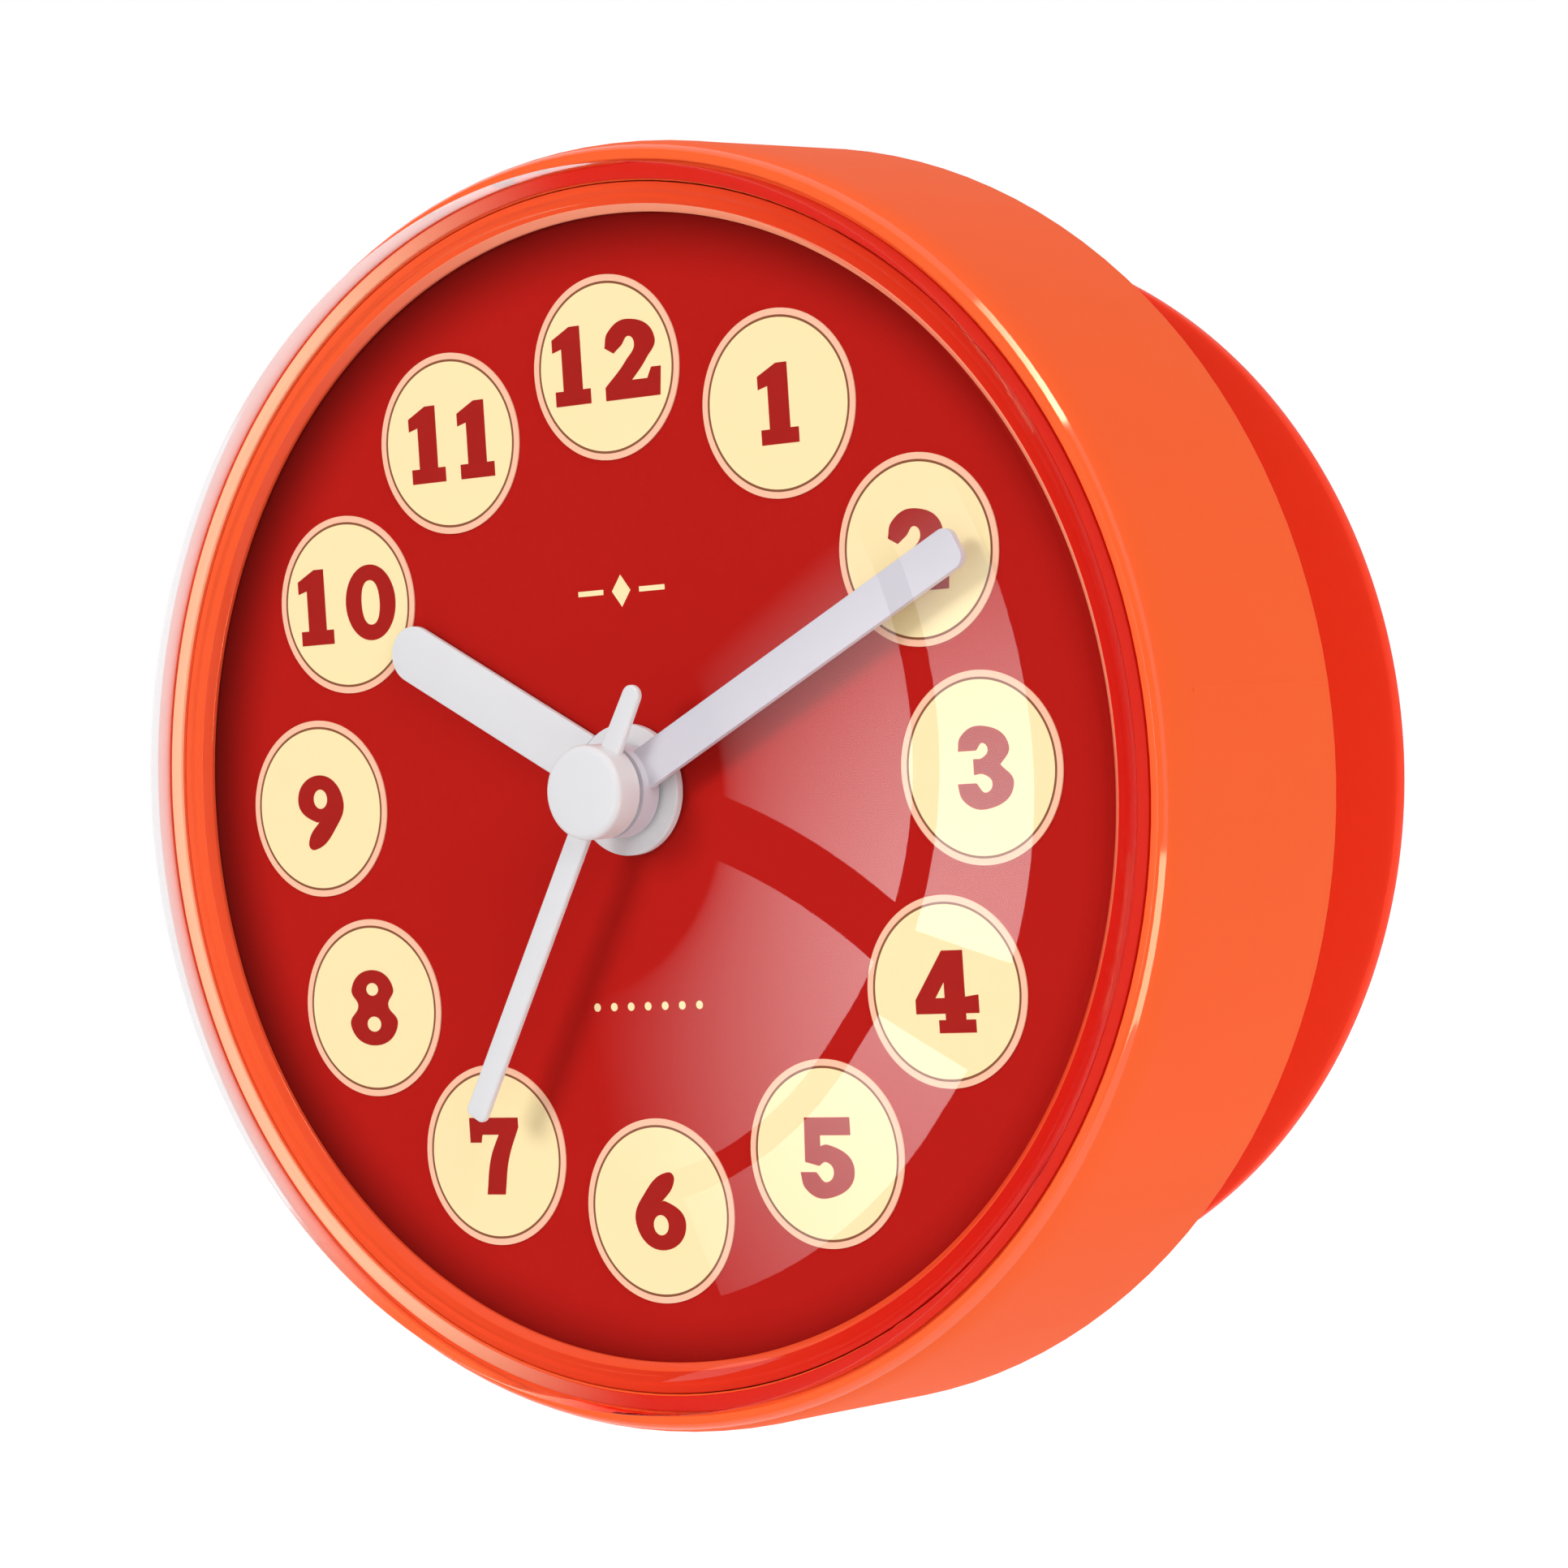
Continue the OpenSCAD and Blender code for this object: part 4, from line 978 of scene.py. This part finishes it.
ORNAMENT_UP = 16.0 * MM
ORNAMENT_DOWN = -17.5 * MM
DIAMOND_W = 1.9
DIAMOND_H = 2.6
DASH_LEN = 2.6
DASH_T = 0.42
DASH_GAP = 0.9
DOT_R = 0.34
DOT_PITCH = 1.75
DOTS = 7


def diamond(width, height):
    x, y = width / 2, height / 2
    return [(x, 0), (0, y), (-x, 0), (0, -y)]


def dash(length, thick):
    x, y = length / 2, thick / 2
    return [(-x, -y), (x, -y), (x, y), (-x, y)]


def build_ornaments():
    face = height_of("dial_plate")
    reach = DIAMOND_W / 2 + DASH_GAP + DASH_LEN / 2
    upper = [(diamond(DIAMOND_W, DIAMOND_H), 0, 0)]
    upper += [(dash(DASH_LEN, DASH_T), side * reach, 0) for side in (-1, 1)]
    lower = [(oval(0, 0, DOT_R, DOT_R), (i - (DOTS - 1) / 2) * DOT_PITCH, 0) for i in range(DOTS)]
    prints = [flat_solid("ornament_upper", upper, (0, ORNAMENT_UP), face),
              flat_solid("ornament_lower", lower, (0, ORNAMENT_DOWN), face)]
    return settle(paint(join(prints, "printed_ornaments"), badge_cream), "clock_case", "badge_cream")


build_ornaments()


# Hands

HAND_EDGE = 0.2 * MM
SECOND_TURN = 209.7
SECOND_LEN = 29.9
SECOND_TAIL = 9.4
SECOND_HALF_W = 1.05
SECOND_TIP_ROUND = 0.6
SECOND_TAIL_HALF_W = 0.84
SECOND_BLADE_H = 48.3 * MM
SECOND_BLADE_T = 0.65 * MM
CAP_R = 3.8 * MM
CAP_ROUND = 0.55 * MM
CAP_CROWN = 0.1 * MM
CAP_SHOULDER = 88
CAP_FOOT_ROUND = 0.2 * MM
CAP_SIDES = 128


def second_outline():
    """A blade with round corners at its tip and a tail that narrows to a round end."""
    side = SECOND_HALF_W - SECOND_TIP_ROUND
    tip = SECOND_LEN - SECOND_TIP_ROUND
    outline = arc((side, tip), SECOND_TIP_ROUND, 0, 90) + arc((-side, tip), SECOND_TIP_ROUND, 90, 180)
    outline += [(-SECOND_HALF_W, 0)]
    outline += arc((0, SECOND_TAIL_HALF_W - SECOND_TAIL), SECOND_TAIL_HALF_W, 180, 360, 2 * ARC_STEPS)
    return outline + [(SECOND_HALF_W, 0)]


def build_second_hand():
    """A blade with a tail through a round cap."""
    top = height_of("second_hand")
    foot = foot_of("second_hand")
    profile = [(POLE, top), (CAP_R / 2, top - CAP_CROWN / 4)]
    profile += arc((CAP_R - CAP_ROUND, top - CAP_CROWN - CAP_ROUND), CAP_ROUND, CAP_SHOULDER, 0)
    profile += arc((CAP_R - CAP_FOOT_ROUND, foot + CAP_FOOT_ROUND), CAP_FOOT_ROUND, 0, -90)
    profile += [(POLE, foot)]
    cap = lathe("second_cap", profile, CAP_SIDES)
    blade = flat_solid("second_blade", [(second_outline(), 0, 0)], (0, 0), SECOND_BLADE_H, SECOND_BLADE_T,
                       SECOND_TURN, HAND_EDGE)
    piece = paint(join([cap, blade], "white_second_hand"), hand_white)
    return settle(smooth(piece), "second_set", "hand_white", "second_hand")


for node, body in (("hour_hand", "hour_set"), ("minute_hand", "minute_set")):
    settle(dressed_copy(node, HAND_EDGE), body, "hand_white", node)
build_second_hand()


# Floor, light and camera

FLOOR_DROP = 0.25
FLOOR_SIZE = 12.0
FLOOR_STEPS = 8
FLOOR_LIFT = 0.3
FLOOR_FINISH = {"Base Color": (0.94, 0.94, 0.94, 1), "Roughness": 0.9, "Specular IOR Level": 0.0}
WORLD_WHITE = (1, 1, 1, 1)
WORLD_FILL = 0.42
# Name of each sun, the direction that it shines from, its strength and its spread
SUNS = (("key", (-0.42, -1.0, 0.42), 1.4, 22),
        ("fill", (1.0, -0.35, 0.75), 1.55, 40),
        ("bounce", (0.4, -0.15, -0.9), 1.0, 60))


def seen_directly(tree):
    """1 for camera, glossy and transmission rays, which show the white background."""
    path = add_node(tree, "LightPath").outputs
    seen = path["Is Camera Ray"]
    for ray in ("Is Glossy Ray", "Is Transmission Ray"):
        seen = add_node(tree, "Math", {0: seen, 1: path[ray]}, operation="MAXIMUM").outputs[0]
    return seen


def build_world():
    world = bpy.data.worlds.new("light_tent")
    world.use_nodes = True
    bpy.context.scene.world = world
    tree = world.node_tree
    back = tree.nodes["Background"]
    back.inputs["Color"].default_value = WORLD_WHITE
    level = add_node(tree, "MapRange", {"Value": seen_directly(tree), "To Min": WORLD_FILL, "To Max": 1.0})
    tree.links.new(level.outputs["Result"], back.inputs["Strength"])


def build_floor():
    floor = new_grid("floor", FLOOR_STEPS, FLOOR_STEPS, FLOOR_SIZE, -FLOOR_DROP)
    material = new_material("floor_white")
    tree = material.node_tree
    shader = shader_of(material)
    set_sockets(shader, FLOOR_FINISH)
    lift = add_node(tree, "Math", {0: seen_directly(tree), 1: FLOOR_LIFT}, operation="MULTIPLY")
    glow = add_node(tree, "Emission", {"Strength": lift.outputs[0]})
    both = add_node(tree, "AddShader", {0: shader.outputs["BSDF"], 1: glow.outputs["Emission"]})
    tree.links.new(both.outputs["Shader"], surface_out(tree))
    paint(floor, material)
    floor.visible_shadow = False


def add_sun(name, source, strength, spread):
    lamp = bpy.data.lights.new(name, "SUN")
    lamp.energy = strength
    lamp.angle = math.radians(spread)
    holder = link(bpy.data.objects.new(name, lamp))
    holder.rotation_euler = Vector(source).to_track_quat("Z", "Y").to_euler()
    holder.visible_glossy = False


def build_camera():
    camera = bpy.data.cameras.new("camera")
    camera.lens = CAMERA_LENS
    camera.sensor_width = CAMERA_SENSOR
    holder = link(bpy.data.objects.new("camera", camera))
    turn = Matrix.Rotation(math.radians(CAMERA_TURN), 4, "Z")
    tilt = Matrix.Rotation(math.radians(90 + CAMERA_TILT), 4, "X")
    roll = Matrix.Rotation(math.radians(CAMERA_ROLL), 4, "Z")
    holder.matrix_world = Matrix.Translation(CAMERA_PLACE) @ turn @ tilt @ roll
    bpy.context.scene.camera = holder


# Reflections: a dark card in front keeps the dome clear and fades to white at its sides, and a window with
# four panes shows in the dome. Turns are clockwise from 12 on the dial, as the photograph's camera sees them.

CARD_R = 0.5
CARD_SIDES = 128
CARD_RINGS = 64
CARD_SPAN = 90
CARD_LIFT = 60
CARD_GREY = 0.02
CARD_FADE_SPAN = 64
CARD_FADE_LIFT = 42
CARD_WHITE_SPAN = 80
WINDOW_TURN = -40
WINDOW_GAP = 0.38
WINDOW_START = 56
WINDOW_END = 178
WINDOW_NEAR = 16 * MM
WINDOW_FAR_HIGH = 42.5 * MM
WINDOW_FAR_LOW = 41.2 * MM
WINDOW_FAR_CURVE = 3
WINDOW_GLOW = 6.2
GLOW_TO_MIDDLE = 0.6
GLOW_PEAK_SHIFT = 0.8
GLOW_TO_ENDS = 1.4
RAIL_R_HIGH = 35.3 * MM
RAIL_R_LOW = 32.0 * MM
RAIL_W = 2.2 * MM
RAIL_LEVEL_TURN = 128
BAR_TURN = 109
BAR_MIDDLE_R = 26.7 * MM
BAR_SLANT = 0.64 / MM
BAR_W = 5 * MM
FAR_UPPER_END = 110.5
FAR_LOWER_START = 123
FAR_LOWER_END = 166
PANE_STEPS = 24
# Name of each pane, whether it is beyond the rail, its turns, and its side of the slanting bar
PANES = (("pane_upper_near", False, WINDOW_START, BAR_TURN, "upper"),
         ("pane_lower_near", False, BAR_TURN, WINDOW_END, "lower"),
         ("pane_upper_far", True, WINDOW_START, FAR_UPPER_END, None),
         ("pane_lower_far", True, FAR_LOWER_START, FAR_LOWER_END, None))
# Name of each strip beside the case, the turns where it starts and ends, and its glow there
EDGE_LIGHTS = (("edge_light_upper", 47, 60.5, 8, 30),
               ("edge_light_lower", 98, 142, 13, 8))
EDGE_LEAN_LOW = 42
EDGE_LEAN_HIGH = 66
EDGE_STEPS = 4
EDGE_WARM = (1.0, 0.86, 0.55)


def glossy_only(piece):
    """Keeps a card, a pane or a strip out of everything but reflections and clear plastic."""
    for ray in ("camera", "diffuse", "volume_scatter", "shadow"):
        setattr(piece, "visible_" + ray, False)


def glow_material(name, colour=(1, 1, 1)):
    """Glows evenly to a straight look through clear plastic; in a mirror it has the mesh's own glow."""
    material = new_material(name)
    tree = material.node_tree
    tree.nodes.remove(shader_of(material))
    own_glow = add_node(tree, "Attribute", attribute_name="glow").outputs["Fac"]
    mirrored = add_node(tree, "LightPath").outputs["Glossy Depth"]
    level = add_node(tree, "MapRange", {"Value": mirrored, "To Min": 1.0, "To Max": own_glow})
    glow = add_node(tree, "Emission", {"Color": (*colour, 1), "Strength": level.outputs["Result"]})
    tree.links.new(glow.outputs["Emission"], surface_out(tree))
    return material


def set_glow(piece, values):
    """Stores how brightly each point of a piece shows in a mirror."""
    piece.data.attributes.new("glow", "FLOAT", "POINT").data.foreach_set("value", values)


def turn_and_lift(place):
    """Degrees to the side of the front and degrees above or below the middle."""
    x, y, z = place.normalized()
    return abs(math.degrees(math.atan2(x, -y))), abs(math.degrees(math.asin(z)))


def card_glow(place):
    turned, lifted = turn_and_lift(place)
    to_the_side = share_of(turned, CARD_FADE_SPAN, CARD_WHITE_SPAN)
    to_the_top = share_of(lifted, CARD_FADE_LIFT, CARD_LIFT)
    return between(CARD_GREY, 1, max(to_the_side, to_the_top))


def build_card():
    deselect()
    bpy.ops.mesh.primitive_uv_sphere_add(segments=CARD_SIDES, ring_count=CARD_RINGS, radius=CARD_R)
    card = new_piece("dark_card")
    bpy.ops.object.mode_set(mode="EDIT")
    bpy.ops.mesh.select_mode(type="FACE")
    bpy.ops.mesh.select_all(action="DESELECT")
    bpy.ops.object.mode_set(mode="OBJECT")
    for face in card.data.polygons:
        turned, lifted = turn_and_lift(face.center)
        face.select = turned > CARD_SPAN or lifted > CARD_LIFT
    bpy.ops.object.mode_set(mode="EDIT")
    bpy.ops.mesh.delete(type="FACE")
    bpy.ops.object.mode_set(mode="OBJECT")
    set_glow(card, [card_glow(vertex.co) for vertex in card.data.vertices])
    glossy_only(paint(card, glow_material("card_grey")))


def mirrored_sight(spot, normal):
    """Direction that the camera sees mirrored at a spot with a given normal."""
    return (spot - CAMERA_PLACE).normalized().reflect(normal)


def mirrored_in_dome(radius, turn):
    """Where the window's plane is met by the sight line that the dome mirrors at a dial radius and turn."""
    angle = math.radians(turn)
    forward = -DOME_MIDDLE - math.sqrt(DOME_BALL ** 2 - radius ** 2)
    spot = Vector((radius * math.sin(angle), forward, radius * math.cos(angle)))
    sight = mirrored_sight(spot, (spot - Vector((0, -DOME_MIDDLE, 0))).normalized())
    facing_turn = math.radians(WINDOW_TURN)
    facing = Vector((math.sin(facing_turn), -math.cos(facing_turn), 0))
    return spot + sight * ((WINDOW_GAP - spot.dot(facing)) / sight.dot(facing))


def mirrored_in_corner(lean, turn):
    """A place that the case's round corner mirrors, where its normal leans out from the front by lean."""
    slope = math.radians(lean)
    angle = math.radians(turn)
    out = Vector((math.sin(angle), 0, math.cos(angle)))
    normal = out * math.sin(slope) + Vector((0, -math.cos(slope), 0))
    spot = out * CORNER_R + Vector((0, -CASE_TOP, 0))
    return spot + mirrored_sight(spot, normal) * WINDOW_GAP


def pane_radius(turn, across, beyond):
    """Dial radius at a share of the way across a pane; the rail and the rim draw in towards the lower end."""
    low = share_of(turn, WINDOW_START, RAIL_LEVEL_TURN)
    rail = between(RAIL_R_HIGH, RAIL_R_LOW, low)
    if beyond:
        near = rail + RAIL_W / 2
        far = between(WINDOW_FAR_HIGH, WINDOW_FAR_LOW, low ** WINDOW_FAR_CURVE)
    else:
        near = WINDOW_NEAR
        far = rail - RAIL_W / 2
    return between(near, far, across)


def bar_edge(radius, side):
    """Turn of the upper or lower edge of the slanting bar at a dial radius."""
    middle = BAR_TURN + BAR_SLANT * (radius - BAR_MIDDLE_R)
    half = math.degrees(math.asin(BAR_W / 2 / radius))
    return middle - half if side == "upper" else middle + half


def pane_glow(radius, turn):
    """Even beyond the rail, fading from there towards the middle and towards both ends."""
    share = share_of(radius, WINDOW_NEAR, RAIL_R_LOW)
    along = share_of(turn, WINDOW_START, WINDOW_END)
    arch = max(math.sin(math.pi * along ** GLOW_PEAK_SHIFT), 0)
    return WINDOW_GLOW * share ** GLOW_TO_MIDDLE * arch ** GLOW_TO_ENDS


def grid_shares(vertex):
    """How far across and along a grid of size 1 a point lies, from 0 to 1."""
    return vertex.co.x + 0.5, vertex.co.y + 0.5


def build_pane(name, beyond, start, end, bar_side):
    pane = new_grid(name, PANE_STEPS, PANE_STEPS)
    glow = []
    for vertex in pane.data.vertices:
        across, along = grid_shares(vertex)
        at_bar = bar_edge(pane_radius(BAR_TURN, across, beyond), bar_side)
        low = at_bar if bar_side == "lower" else start
        high = at_bar if bar_side == "upper" else end
        turn = between(low, high, along)
        radius = pane_radius(turn, across, beyond)
        glow.append(pane_glow(radius, turn))
        vertex.co = mirrored_in_dome(radius, turn)
    set_glow(pane, glow)
    return pane


def build_window():
    material = glow_material("window_light")
    for pane in PANES:
        glossy_only(paint(build_pane(*pane), material))


def build_edge_light(name, start, end, first_glow, last_glow):
    strip = new_grid(name, EDGE_STEPS, PANE_STEPS)
    glow = []
    for vertex in strip.data.vertices:
        across, along = grid_shares(vertex)
        lean = between(EDGE_LEAN_LOW, EDGE_LEAN_HIGH, across)
        glow.append(between(first_glow, last_glow, along))
        vertex.co = mirrored_in_corner(lean, between(start, end, along))
    set_glow(strip, glow)
    return strip


def build_edge_lights():
    """Two strips that the round corner of the case mirrors as bright lines."""
    material = glow_material("edge_light", EDGE_WARM)
    for strip in EDGE_LIGHTS:
        glossy_only(paint(build_edge_light(*strip), material))


build_world()
build_card()
build_window()
build_edge_lights()
build_floor()
for sun in SUNS:
    add_sun(*sun)
build_camera()
bpy.context.scene.view_settings.view_transform = "Standard"
